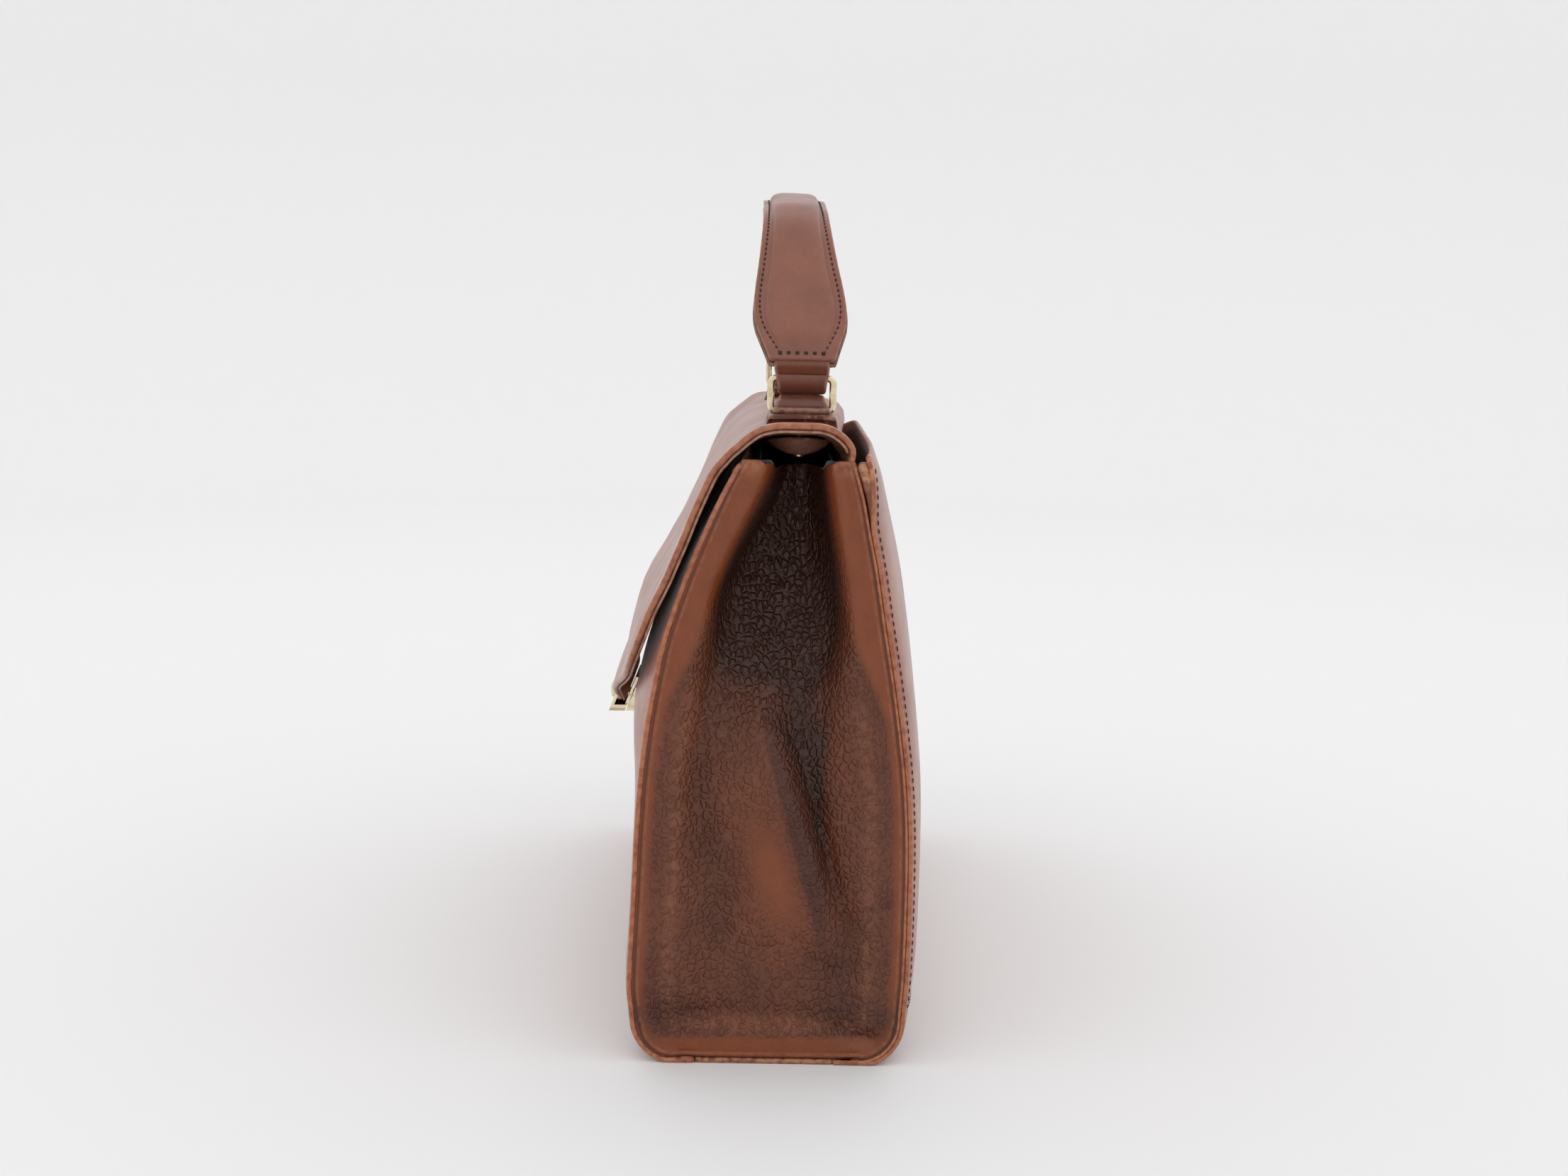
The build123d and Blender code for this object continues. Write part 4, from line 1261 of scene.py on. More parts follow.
@dataclass
class Pocket:
    """The back's outer leather, sewn down at its foot and ends, whose rim gapes as a slip pocket."""

    section: Section
    half_length: float
    seam: float = 28.0
    foot: float = 24.0
    top: float = 260.5
    leather: float = 2.2
    lining: float = 0.7
    stand: tuple[float, ...] = (0, 1, 5.6, 8.6, 10.0, 10.6, 11.2, 11.6, 11.6, 12.2, 13.2, 13.4,
                                13.4, 12.4)
    stand_at: tuple[float, ...] = (1, 5, 18, 31, 44, 57, 96, 118, 150, 185, 209, 224, 246, 262)
    end_gape: float = 4.7
    gape_depth: float = 30.0
    far_dip: float = 6.0
    far_press: float = 4.5
    give: float = 34.0

    def grid(self, inset: float) -> Array:
        """The sheet's middle, this far inside the case's outer face where it lies flat.

        Args:
            inset: How far inside the outer face.

        Returns:
            The grid.
        """
        path, out = self.section.outline(inset, 2.2)
        start = int(np.argmax((path[:, 1] < self.section.corner) & (path[:, 0] > self.seam)))
        path, out = path[start:], out[start:]
        extra = np.arange(2.0, self.top - self.section.mouth + 2.0, 1.0)
        reach = path[-1] + extra[:, None] * unit(path[-1] - path[-3])
        path = np.concatenate([path, reach])
        out = np.concatenate([out, out[-1:].repeat(len(extra), 0)])
        x = spread(110, 1.4) * (self.half_length - self.leather / 2)
        z = path[:, 1][:, None]
        middle = filled(x[None], self.half_length)
        corner = self.end_gape * self.opened(z) + self.section.fuller(1, z)
        far = smoothstep((-x[None] - 5) / 95)
        pressed = self.far_press * far * smoothstep((z - 190) / 60)
        lift = (eased(self.stand, self.stand_at, z) - pressed) * middle
        lift = lift + corner * (1 - middle)
        grid = ruled(x, path)
        grid[..., 1:] += out[:, None] * lift[..., None]
        grid[..., 1] += 0.5 * ripple(grid, 60, 5.0) * middle
        rim = smoothstep((z - self.top + 40) / 40)
        grid[..., 2] += ripple(grid * (1, 0, 0), 80, 2.0) * rim * middle
        grid[..., 2] -= self.far_dip * far * rim * middle
        grid[..., 2] = np.maximum(grid[..., 2], self.leather / 2)
        return grid

    def opened(self, z: Array) -> Array:
        """How far the pocket's ends stand open at a height, from 0 to 1 at the rim."""
        return smoothstep((z - self.top + self.gape_depth) / self.gape_depth)

    def end_fold(self, hand: int, skins: Finishes) -> bpy.types.Object:
        """The folded seam allowance that closes the pocket's end and shows at its corner.

        Args:
            hand: 1 for the right end and -1 for the left.
            skins: The finishes.

        Returns:
            The fold.
        """
        z = np.linspace(self.top - self.gape_depth + 6, self.top + 1.6, 40)
        gap = self.end_gape * self.opened(z) * 0.96 + 1.0
        height = np.minimum(z, self.section.mouth)
        inner = self.section.reach(1, height) + self.section.fuller(1, height) - 0.6
        centres = np.stack([np.full(z.shape, hand * (self.half_length - 4.4)), inner + gap / 2, z], -1)
        centres += 0.3 * ripple(centres, 5.0, 4.0)[:, None] * (1, 0.6, 0)
        shape = oblong(2.0, 2.0, 0.62)[None] * np.stack([np.full(z.shape, 3.7), gap / 2], -1)[:, None]
        close = np.sqrt(np.clip((z[-1] - z) / 2.4, 0, 1))[:, None, None]
        side, out = (np.tile(v, (len(z), 1)) for v in ((1.0, 0.0, 0.0), (0.0, 1.0, 0.0)))
        fold = swept(f"pocket_end_fold_{side_name(hand)}", centres, side, out,
                     shape * (0.55 + 0.45 * close), skins.rim)
        rub = np.repeat(smoothstep((z - self.top + 12) / 8), shape.shape[1])
        fold.data.attributes["wear"].data.foreach_set("value", rub.astype(np.float32))
        return fold

    def build(self, skins: Finishes) -> list[bpy.types.Object]:
        """The panel, its lining and the stitches round it.

        Args:
            skins: The finishes.

        Returns:
            The pieces.
        """
        outer = self.grid(-0.1)
        x, z = np.abs(outer[..., 0]), outer[..., 2]
        corner = smoothstep((x - self.half_length + 9) / 8) * smoothstep((z - self.top + 12) / 10)
        rim = smoothstep((z - self.top + 3) / 3)
        paint = {"wear": np.clip(0.95 * corner + 0.35 * rim, 0, 1),
                 "dirt": 0.2 * smoothstep((30 - z) / 30)}
        panel = rolled_sheet("pocket_leather", outer, self.leather, skins.grained,
                             paint=paint, wear=0.5)
        keep = outer[:, 0, 2] > self.foot
        inner = self.grid(-0.1 + self.leather / 2 + self.lining / 2)
        inner = inner[inner[:, 0, 2] > self.foot][:-2, 2:-2]
        cloth = rolled_sheet("pocket_cloth", inner, self.lining, skins.cloth, wear=0)
        n = grid_normals(outer)
        face = outer + n * np.sign(n[..., 1:2]) * self.leather / 2
        rows = np.flatnonzero(keep)
        foot, high = rows[0], rows[-3]
        line, out = (np.concatenate([v[high:foot:-1, 3], v[foot, 3:-3], v[foot:high, -4]])
                     for v in (face, n))
        out = out * np.sign(out[:, 1:2])
        seam = Stitching().sew("pocket_stitches", line, out, skins.thread)
        ends = [self.hang(self.end_fold(hand, skins), Slot.GRAINED) for hand in (1, -1)]
        return [self.hang(panel, Slot.GRAINED, "pocket_panel"),
                self.hang(cloth, Slot.CLOTH, "pocket_lining"),
                self.hang(seam, Slot.GRAINED), *ends]

    def hang(self, obj: bpy.types.Object, slot: Slot, *nodes: str) -> bpy.types.Object:
        """Leaves a piece fixed where it is built, with its placement baked into its mesh, in place of
        these CAD nodes.

        Args:
            obj: The piece.
            slot: Not used.
            nodes: The CAD nodes it stands for.

        Returns:
            The piece.
        """
        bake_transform(obj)
        if nodes:
            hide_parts(*nodes)
        log.info("%-28s %6d faces, bends with the flap", obj.name, len(obj.data.polygons))
        return obj


@dataclass
class MouthBinding:
    """Leather bound over the front and back edges of the mouth, closing leather on lining."""

    section: Section
    half_length: float
    width: float = 6.4
    height: float = 6.0
    end_gap: float = 4.0

    def build(self, skins: Finishes) -> list[bpy.types.Object]:
        """The front and the back binding.

        Args:
            skins: The finishes.

        Returns:
            The pieces.
        """
        pieces = []
        for side, name in ((-1, "front"), (1, "back")):
            x = np.linspace(-1, 1, 60) * (self.half_length - self.end_gap)
            top = self.section.mouth + 0.1 - self.height / 2
            middle = side * (self.section.reach(side, top, 0) + 0.8 - self.width / 2)
            middle = middle + side * self.section.fuller(side, top) * (1 - filled(x, self.half_length))
            centres = np.stack([x, middle, np.full(len(x), top)], -1)
            centres[:, 2] += 0.25 * (ripple(centres, 40, 4.0) - 1) * 0.6
            lean = math.radians(24 if side < 0 else 15)
            level = np.tile([0.0, math.cos(lean), -side * math.sin(lean)], (len(x), 1))
            up = np.tile([0.0, side * math.sin(lean), math.cos(lean)], (len(x), 1))
            profile = oblong(self.width, self.height, 2.2)
            wear = 0.6 * smoothstep((profile[:, 1] - self.height * 0.2) / 2)
            obj = swept(f"mouth_binding_{name}", centres, level, up, profile, skins.rim, wear)
            pieces.append(dress(obj, Body.CASE, Slot.GRAINED))
        return pieces


# ---------------------------------------------------------------- the flap


@dataclass
class FlapForm:
    """The flap's outer surface over the pattern (x, run), where run starts at its hinge."""

    hinge: tuple[float, float]
    half_width: float
    tip: tuple[float, float]
    leather: float = 2.4
    end_flare: float = 3.9
    far_sag: float = 3.0
    back_hump: float = 8.6
    back_radius: float = 15.0
    front_radius: float = 33.0
    front_centre: float = 3.2
    root_angle: float = 80.0
    edge_x: tuple[float, ...] = (189, 188.4, 186, 179, 165, 140, 100, 50, 20, 0)
    edge_rise: tuple[float, ...] = (93, 79, 67, 56, 46, 36.6, 25.4, 12.2, 3.4, 0)
    stand: tuple[float, ...] = (0, 0.6, 1.3, 2.3, 3.2, 4.0, 4.2, 4.4, 3.6, 3.3, 2.6, 1.2, 0.6, 0)
    stand_at: tuple[float, ...] = (121, 128, 136, 147, 160, 173, 184, 196, 209, 224, 235, 247,
                                   256, 264)
    belly: tuple[float, ...] = (0, 1.0, 3.0, 3.6, 2.4, 4.8, 6.2, 3.6, 2.0, 1.1, 0.3, 0)
    belly_at: tuple[float, ...] = (121, 128, 136, 146, 160, 171, 182, 195, 209, 224, 235, 247)
    belly_reach: float = 150.0
    clasp_height: float = 128.0
    crown_run: float = 27.0

    def __post_init__(self) -> None:
        """Draws the profile and measures it."""
        root = math.radians(self.root_angle)
        arm = self.back_radius - self.leather / 2
        back = np.array([self.hinge[0] - arm * math.sin(root), self.hinge[1] - arm * math.cos(root)])
        crown = back[1] + self.back_radius
        front = np.array([self.front_centre, crown - self.front_radius])
        to_tip = np.array(self.tip) - front
        turn = math.atan2(to_tip[0], to_tip[1]) + math.acos(self.front_radius / np.hypot(*to_tip))
        sweep_back, sweep_front = np.linspace(root, 0, 40), np.linspace(0, turn, 60)
        arcs = [c + r * np.stack([np.sin(a), np.cos(a)], -1)
                for c, r, a in ((back, self.back_radius, sweep_back),
                                (front, self.front_radius, sweep_front))]
        path = np.concatenate([*arcs, [self.tip]])
        self.path, _ = resampled(path, 0.5)
        self.run = np.linspace(0, travelled(self.path)[-1], len(self.path))
        along = unit(np.gradient(self.path, axis=0))
        self.out = np.stack([along[:, 1], -along[:, 0]], -1)
        self.out *= np.sign(self.out[len(self.out) // 3, 1])

    def at(self, x: Array, run: Array, depth: float = 0.0) -> Array:
        """Points of the surface, this deep in the flap, for places on the pattern.

        Args:
            x: Places along the case.
            run: Distances from the hinge along the pattern.
            depth: How deep in the flap.

        Returns:
            The points.
        """
        y, z, ny, nz = (np.interp(run, self.run, column)
                        for column in (*self.path.T, *self.out.T))
        crowned = smoothstep((z - 250) / 20) * smoothstep(run / 13)
        lift = -self.far_sag * smoothstep((-x - 20) / 160) * crowned
        far = np.where(x > 0, 1.0, smoothstep((run - 30) / 25))
        ends = smoothstep((np.abs(x) - 140) / 46) * far
        flare = self.end_flare * ends * (0.5 + 0.5 * smoothstep((56 - run) / 14))
        flare = flare * smoothstep((106 - run) / 30) * smoothstep((run + 4) / 10)
        hump = np.exp(-(((x + 10) / 78) ** 2) - ((run - 8) / 8.5) ** 2) * smoothstep(run / 5)
        flare = flare + self.back_hump * hump
        wide = np.clip(1 - (x / self.belly_reach) ** 2, 0, 1) ** 0.8
        front = (run > self.run[-1] * 0.3) * smoothstep(
            (np.hypot(x / 25, (z - self.clasp_height) / 13) - 0.9) / 0.7)
        swell = eased(self.belly, self.belly_at, z) * wide + eased(self.stand, self.stand_at, z)
        push = swell * front + flare - depth
        return np.stack(np.broadcast_arrays(x, y + ny * push, z + nz * push + lift), -1)

    def height(self, x: Array, run: float) -> Array:
        """The surface's height at each x, this far along the pattern."""
        return self.at(x, np.full(x.shape, run))[..., 2]

    def rises(self, x: Array, run: Array) -> Array:
        """The surface's outward normals.

        Args:
            x: Places along the case.
            run: Distances from the hinge along the pattern.

        Returns:
            Unit normals.
        """
        d = 0.4
        du = self.at(x + d, run) - self.at(x - d, run)
        dv = self.at(x, run + d) - self.at(x, run - d)
        n = unit(np.cross(du, dv))
        n[run <= d] = unit(np.cross(du, self.at(x, run + 2 * d) - self.at(x, run)))[run <= d]
        low = run >= self.run[-1] - d
        n[low] = unit(np.cross(du, self.at(x, run) - self.at(x, run - 2 * d)))[low]
        facing = np.sum(n * self.outward(run), -1)[..., None]
        return n * np.where(facing < 0, -1, 1)

    def outward(self, run: Array) -> Array:
        """The plain profile's outward direction at these runs."""
        return np.stack([run * 0] + [np.interp(run, self.run, c) for c in self.out.T], -1)

    def pattern(self, inset: float, columns: int, rows: int, start: float = 0.0) -> tuple[Array, Array]:
        """The tongue-shaped cut of the flap, ruled from its hinge to its lower edge.

        Args:
            inset: How far inside the edge it stays.
            columns: Points across.
            rows: Points down.
            start: The run at which it begins.

        Returns:
            The x and the run of each point.
        """
        half = self.half_width - inset
        s, stops = np.linspace(0, len(self.edge_x) - 1, 500), range(len(self.edge_x))
        curve = np.stack([eased(self.edge_x, stops, s) * half / self.edge_x[0],
                          eased(self.edge_rise, stops, s) + self.tip[1] + inset], -1)
        lower, _ = resampled(curve[::-1], 0.5)
        far = np.linspace(0, 1, len(lower))
        u = np.linspace(-1, 1, columns)
        edge_x = np.sign(u) * np.interp(np.abs(u), far, lower[:, 0])
        edge_z = np.interp(np.abs(u), far, lower[:, 1])
        heights = self.path[:, 1]
        below = heights.argmax()
        edge_run = np.interp(edge_z, heights[below:][::-1], self.run[below:][::-1])
        v = np.linspace(0, 1, rows)[:, None]
        return u * half * (1 - v) + edge_x * v, start * (1 - v) + edge_run * v


@dataclass
class Flap:
    """The flap's leather with its turned edge, core and lining, and the strip that hinges it."""

    form: FlapForm
    section: Section
    leather: float = 2.6
    core: float = 0.4
    lining: float = 1.2
    edge_lines: tuple[float, ...] = (0.3, 0.1, 0.55, 0.1, 0.1, 0.5, 0.1, 0.1, 0.0)
    strip: float = 1.1
    strip_end: float = 7.0
    strip_run: float = 17.0

    def layer(self, name: str, depth: float, thickness: float, inset: float, start: float,
              material: bpy.types.Material, wear: float | Sequence[float],
              size: tuple[int, int]) -> bpy.types.Object:
        """One sheet of the flap.

        Args:
            name: The piece's name.
            depth: How deep in the flap its middle lies.
            thickness: Its thickness.
            inset: How far inside the flap's edge it ends.
            start: The run at which it begins.
            material: Its finish.
            wear: How rubbed its edges are.
            size: Columns and rows.

        Returns:
            The sheet.
        """
        x, run = self.form.pattern(inset + thickness / 2, *size, start)
        grid, normals = self.form.at(x, run), self.form.rises(x, run)
        form = self.form
        wavy = 0.45 * ripple(grid, 58.0, 7.0) + 0.2 * ripple(grid, 21.0, 2.0)
        wavy *= smoothstep((run - 20) / 30)
        clasp = smoothstep((np.hypot(x / 26, (grid[..., 2] - form.clasp_height) / 16) - 1) / 0.6)
        grid = grid + normals * (wavy * clasp - depth)[..., None]
        near = np.abs(x) > self.form.half_width - 9
        low = run > run.max(0) - 6
        paint = {"wear": 0.45 * blurred((near | low).astype(float), 2)}
        return rolled_sheet(name, grid, thickness, material, normals, paint, wear)

    def hinge_strip(self, skins: Finishes) -> bpy.types.Object:
        """The strip of leather sewn to the back and to the flap, over the hinge line.

        Args:
            skins: The finishes.

        Returns:
            The strip.
        """
        form = self.form
        low = [(self.section.reach(1, z) + 0.15 + self.strip / 2, z) for z in (245, 250, 255, 259)]
        arc = [tuple(form.path[i] + form.out[i] * (self.strip / 2 + 0.1)) for i in range(6, 34, 4)]
        path, _ = resampled(np.array(low + arc), 0.8)
        x = np.linspace(-1, 1, 90) * (form.half_width - self.strip_end)
        grid = ruled(x, path)
        lifted = form.height(x, self.strip_run) - form.height(x * 0, self.strip_run)
        share = smoothstep((grid[..., 2] - 262) / 6)
        grid[..., 2] += share * lifted[None]
        strip = rolled_sheet("hinge_strip", grid, self.strip, skins.grained, wear=0.4)
        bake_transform(strip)
        return strip

    def build(self, skins: Finishes) -> list[bpy.types.Object]:
        """Every piece of the flap's sheet.

        Args:
            skins: The finishes.

        Returns:
            The pieces.
        """
        form = self.form
        outer = self.layer("flap_outer", self.leather / 2, self.leather, 0, 0, skins.grained,
                           self.edge_lines, (131, 96))
        depth = self.leather + self.core / 2
        core = self.layer("flap_core", depth, self.core, 1.6, 6, skins.rim, 0.0, (81, 60))
        depth += self.core / 2 + self.lining / 2
        inner = self.layer("flap_inner", depth, self.lining, 0.3, 4, skins.lining_leather, 0.7,
                           (131, 96))
        return [dress(outer, Body.FLAP, Slot.GRAINED, "flap_leather"),
                dress(core, Body.FLAP, Slot.BOARD, "flap_board"),
                dress(inner, Body.FLAP, Slot.FLAP_LINING, "flap_lining"), self.hinge_strip(skins)]


@dataclass
class CrownBar:
    """The lens-shaped bar under the crown, bound in lining leather."""

    form: FlapForm
    half_length: float = 150.0
    width: float = 29.0
    depth: float = 8.0
    cover: float = 5.1

    def build(self, skins: Finishes) -> list[bpy.types.Object]:
        """The bar.

        Args:
            skins: The finishes.

        Returns:
            The pieces.
        """
        x = np.linspace(-1, 1, 90) * self.half_length
        end = np.clip((self.half_length - np.abs(x)) / 9, 0, 1)
        full = np.sqrt(1 - (1 - end) ** 2) * 0.75 + 0.25
        y = np.linspace(-1, 1, 25)
        low = -(1 - y**2) ** 0.8
        profile = np.concatenate([np.stack([y, low], -1), np.stack([y[::-1], y * 0], -1)[1:-1]])
        shape = profile[None] * np.stack([self.width / 2 * full, self.depth * full], -1)[:, None]
        shape[..., 1] -= 0.35 * (shape[..., 0] / 15) ** 2 * 4
        middle = (self.form.path[0, 0] + self.form.front_centre) / 2 - 7.5
        sag = self.form.height(x, self.form.crown_run)
        centres = np.stack([x, np.full(x.shape, middle), sag - self.cover], -1)
        wrinkle = 0.5 * ripple(np.stack([x, x * 0, x * 0], -1), 9.0, 3.0)
        centres[:, 2] += 0.3 * wrinkle
        across, up = (np.tile(v, (len(x), 1)) for v in ((0.0, 1.0, 0.0), (0.0, 0.0, 1.0)))
        bar = swept("crown_bar_cover", centres, across, up, shape, skins.lining_leather)
        return [dress(bar, Body.FLAP, Slot.FLAP_LINING, "crown_bar")]


@dataclass
class RingTab:
    """A leather patch on the crown, with the strap that loops over a ring's lower bar."""

    form: FlapForm
    place: float
    pivot: float
    middle: float
    length: float = 40.0
    width: float = 33.0
    height: float = 4.2
    strap_leather: float = 3.3
    bore: float = 2.2
    contact: float = 7.2

    def level(self) -> float:
        """The height of the patch's flat top."""
        return self.form.height(np.array([self.place]), self.form.crown_run)[0] + self.height

    def patch(self, skins: Finishes, side: str) -> bpy.types.Object:
        """The patch: its underside moulded to the crown, its top pressed flat.

        Args:
            skins: The finishes.
            side: The end's name.

        Returns:
            The patch.
        """
        u, v = np.linspace(-1, 1, 42), np.linspace(-1, 1, 36)
        x = self.place + np.broadcast_to(u[:, None], (42, 36)) * self.length / 2
        y = self.middle + np.broadcast_to(v[None], (42, 36)) * self.width / 2
        run = np.interp(-y, -self.form.path[:, 0], self.form.run)
        under = self.form.at(x, run)
        level = self.level()
        edge = np.minimum((1 - np.abs(u[:, None])) * self.length / 2,
                          (1 - np.abs(v[None])) * self.width / 2)
        rounded = 1.5 * (1 - np.sqrt(1 - (1 - np.clip(edge / 1.5, 0, 1)) ** 2))
        top = np.stack([x, y, np.full(x.shape, level)], -1)
        top[..., 1] -= 1.6 * v[None] * np.clip(1 - edge / 3, 0, 1)
        low = under[..., 2]
        top[..., 2] = np.maximum(level - rounded - 0.5 * v[None] ** 4, low + 1.2)
        top[..., 2] += 0.22 * ripple(top, 6.0, self.place) + 0.12 * ripple(top, 2.4, self.place)
        under = np.stack([x, y, low - 0.4], -1)
        skin = np.stack([top, under])
        count = x.size
        index = np.arange(count).reshape(x.shape)
        quads = quads_of(index)
        rim = index[tuple(np.array(border(*x.shape)).T)]
        wall = np.stack([rim, np.roll(rim, -1), np.roll(rim, -1) + count, rim + count], -1)
        faces = quads.tolist() + (quads[:, ::-1] + count).tolist() + wall[:, ::-1].tolist()
        cracks = smoothstep((np.abs(ripple(top, 3.2, 4.0)) * -1 + 0.16) / 0.12)
        worn = smoothstep(ripple(top, 11.0, 8.0) + 0.45) * cracks
        paint = {"dirt": np.concatenate([0.72 - 0.4 * worn.ravel(), np.full(count, 0.8)]),
                 "wear": np.concatenate([0.95 * worn.ravel(), np.zeros(count)])}
        return make_object(f"ring_tab_patch_{side}", skin.reshape(-1, 3), faces, skins.smooth, paint)

    def loop(self, skins: Finishes, side: str) -> bpy.types.Object:
        """The strap over the bar, its tails spreading on to the patch.

        Args:
            skins: The finishes.
            side: The end's name.

        Returns:
            The strap.
        """
        radius = self.bore + self.strap_leather / 2
        foot = self.level() + 0.6
        turn = np.radians(np.linspace(-112, 112, 44))
        tall = np.where(np.cos(turn) > 0, self.contact - self.strap_leather / 2, radius)
        arc = np.stack([(radius + 0.3) * np.sin(turn), self.pivot + tall * np.cos(turn)], -1)
        tails = [np.stack([s * np.array([8.5, 6.5, 5.0]), foot + np.array([0.7, 0.8, 1.3])], -1)
                 for s in (-1, 1)]
        path = np.concatenate([tails[0], arc, tails[1][::-1]])
        line = np.column_stack([path[:, 0] + self.place, path[:, 0] * 0, path[:, 1]])
        line, _ = resampled(line, 0.7)
        half = eased((13.0, 12.2, 10.6, 10.4), (foot, foot + 1.6, self.pivot + 4, self.pivot + 8),
                     line[:, 2])
        grid = np.repeat(line[:, None], 22, 1)
        grid[..., 1] = self.middle + np.linspace(-1, 1, 22) * (half - self.strap_leather / 2)[:, None]
        top = smoothstep((grid[..., 2] - self.pivot - 4.6) / 1.0)
        return rolled_sheet(f"ring_tab_loop_{side}", grid, self.strap_leather, skins.smooth,
                            paint={"dirt": 0.5 - 0.2 * top, "wear": 0.35 * top}, wear=0.5)

    def build(self, skins: Finishes) -> list[bpy.types.Object]:
        """The patch and the loop.

        Args:
            skins: The finishes.

        Returns:
            The pieces.
        """
        side = side_name(1 if self.place > 0 else -1)
        return [dress(self.patch(skins, side), Body.FLAP, Slot.SMOOTH, f"ring_tab_{side}"),
                dress(self.loop(skins, side), Body.FLAP, Slot.SMOOTH)]


# ---------------------------------------------------------------- the handle


@dataclass
class Handle:
    """A padded, saddle-stitched handle: sole, cover and the straps that loop over the rings."""

    middle: float
    height: float
    ring_place: float
    pivot: float
    top_radius: float = 330.0
    top_angle: float = 11.4
    shoulder_radius: float = 45.0
    leg_turn: float = 54.776
    leg_length: float = 57.6
    sole: float = 2.4
    cover: float = 2.9
    pad: float = 3.7
    strap_leather: float = 3.2
    bore: float = 2.2
    contact: float = 7.25
    lean: float = 0.052
    wide: tuple[float, ...] = (15.0, 15.0, 15.3, 15.9, 16.8, 18.5, 20.2, 21.0, 20.3, 18.5, 16.6,
                               14.9, 13.0)
    wide_at: tuple[float, ...] = (0, 58, 72, 83, 90, 98, 105, 111, 116, 119.6, 123, 126.3, 130)

    def __post_init__(self) -> None:
        """Draws the underside's line from the left end to the right."""
        low = self.height - self.sole - self.cover - self.pad
        turn, bend = math.radians(self.top_angle), math.radians(self.leg_turn)
        reach = self.top_radius - self.shoulder_radius
        hub = np.array([reach * math.sin(turn), low - self.top_radius + reach * math.cos(turn)])
        a, b = np.linspace(0, turn, 60), np.linspace(turn, bend, 40)[1:]
        top = np.stack([self.top_radius * np.sin(a), low - self.top_radius
                        + self.top_radius * np.cos(a)], -1)
        shoulder = hub + self.shoulder_radius * np.stack([np.sin(b), np.cos(b)], -1)
        down = np.array([math.cos(bend), -math.sin(bend)])
        leg = shoulder[-1] + np.linspace(0, self.leg_length, 40)[1:, None] * down
        right = np.concatenate([top, shoulder, leg])
        both = np.concatenate([right[:0:-1] * (-1, 1), right])
        line = np.column_stack([both[:, 0], np.full(len(both), self.middle), both[:, 1]])
        self.line, _ = resampled(line, 1.3)
        self.line[:, 1] -= self.lean * np.maximum(self.line[:, 2] - self.pivot, 0)
        along = unit(np.gradient(self.line, axis=0))
        self.up = np.stack([-along[:, 2], along[:, 1] * 0, along[:, 0]], -1)
        self.down, self.out = down, np.array([math.sin(bend), math.cos(bend)])
        self.leg_root = shoulder[-1]

    def half_width(self, x: Array) -> Array:
        """Half the handle's width at each place along it."""
        return eased(self.wide, self.wide_at, np.abs(x))

    def seam_inset(self, x: Array) -> Array:
        """How far inside the edge the stitches run: they turn in towards the end of the pad."""
        return eased((2.75, 2.75, 3.0, 4.4, 6.2), (0, 100, 112, 119, 124.5), np.abs(x))

    def top(self, x: Array, share: Array) -> Array:
        """The cover's height above the underside, for shares from -1 to 1 across it.

        Args:
            x: Places along the handle.
            share: Shares from -1 to 1 across it.

        Returns:
            The heights.
        """
        w = self.half_width(x)
        inset = self.seam_inset(x)
        foot = w - inset - eased((0.6, 0.8, 2.4, 1.4, 1.0), (0, 60, 104, 116, 124), np.abs(x))
        crown = np.clip(1 - (np.abs(share) * w / foot) ** 4.2, 0, 1) ** 0.5
        fade = eased((1, 1, 0.78, 0.7), (0, 60, 100, 125), np.abs(x))
        fade = smoothstep((123.6 - np.abs(x)) / 5.5) * fade
        seam = np.exp(-(((np.abs(share) * w - (w - inset)) / 0.6) ** 2))
        return self.sole + self.cover + self.pad * fade * crown - 0.35 * seam

    def cover_piece(self, skins: Finishes) -> bpy.types.Object:
        """The padded cover, as a closed form from flange to flange.

        Args:
            skins: The finishes.

        Returns:
            The cover.
        """
        x = self.line[:, 0]
        share = np.sin(np.linspace(-np.pi / 2, np.pi / 2, 91))
        w = self.half_width(x)[:, None]
        y = share[None] * (w - 0.25)
        z = self.top(x[:, None], share[None])
        edge = 0.7 * (1 - np.sqrt(np.clip(1 - np.clip((np.abs(y) - w + 1.0) / 1.0, 0, 1) ** 2, 0, 1)))
        z = z - edge
        low = np.linspace(1, -1, 24)[1:-1]
        bottom_y = low[None] * (w - 0.25)
        bottom = np.stack([bottom_y, np.full(bottom_y.shape, self.sole + 0.05)], -1)
        profile = np.concatenate([np.stack([y, z], -1), bottom], 1)
        place = np.stack([np.broadcast_to(x[:, None], y.shape), y, z], -1)
        crease = 0.28 * ripple(place * (1, 0.6, 1), 8.0, 6.0) * smoothstep((z - 5) / 3)
        profile[:, : len(share), 1] += crease
        across = np.tile([0.0, 1.0, 0.0], (len(x), 1))
        piece = swept("handle_cover_leather", self.line, across, self.up, profile, skins.smooth)
        wear = np.zeros(profile.shape[:2])
        wear[:, : len(share)] = 0.5 * smoothstep((np.abs(y) - w + 1.2) / 0.8)
        dirt = np.zeros(profile.shape[:2])
        dirt[:, : len(share)] = 0.25 * np.exp(-(((np.abs(x)[:, None] - 124.0) / 2.0) ** 2))
        for key, values in (("wear", wear), ("dirt", dirt)):
            layer = piece.data.attributes.get(key) or piece.data.attributes.new(key, "FLOAT", "POINT")
            layer.data.foreach_set("value", values.astype(np.float32).ravel())
        return piece

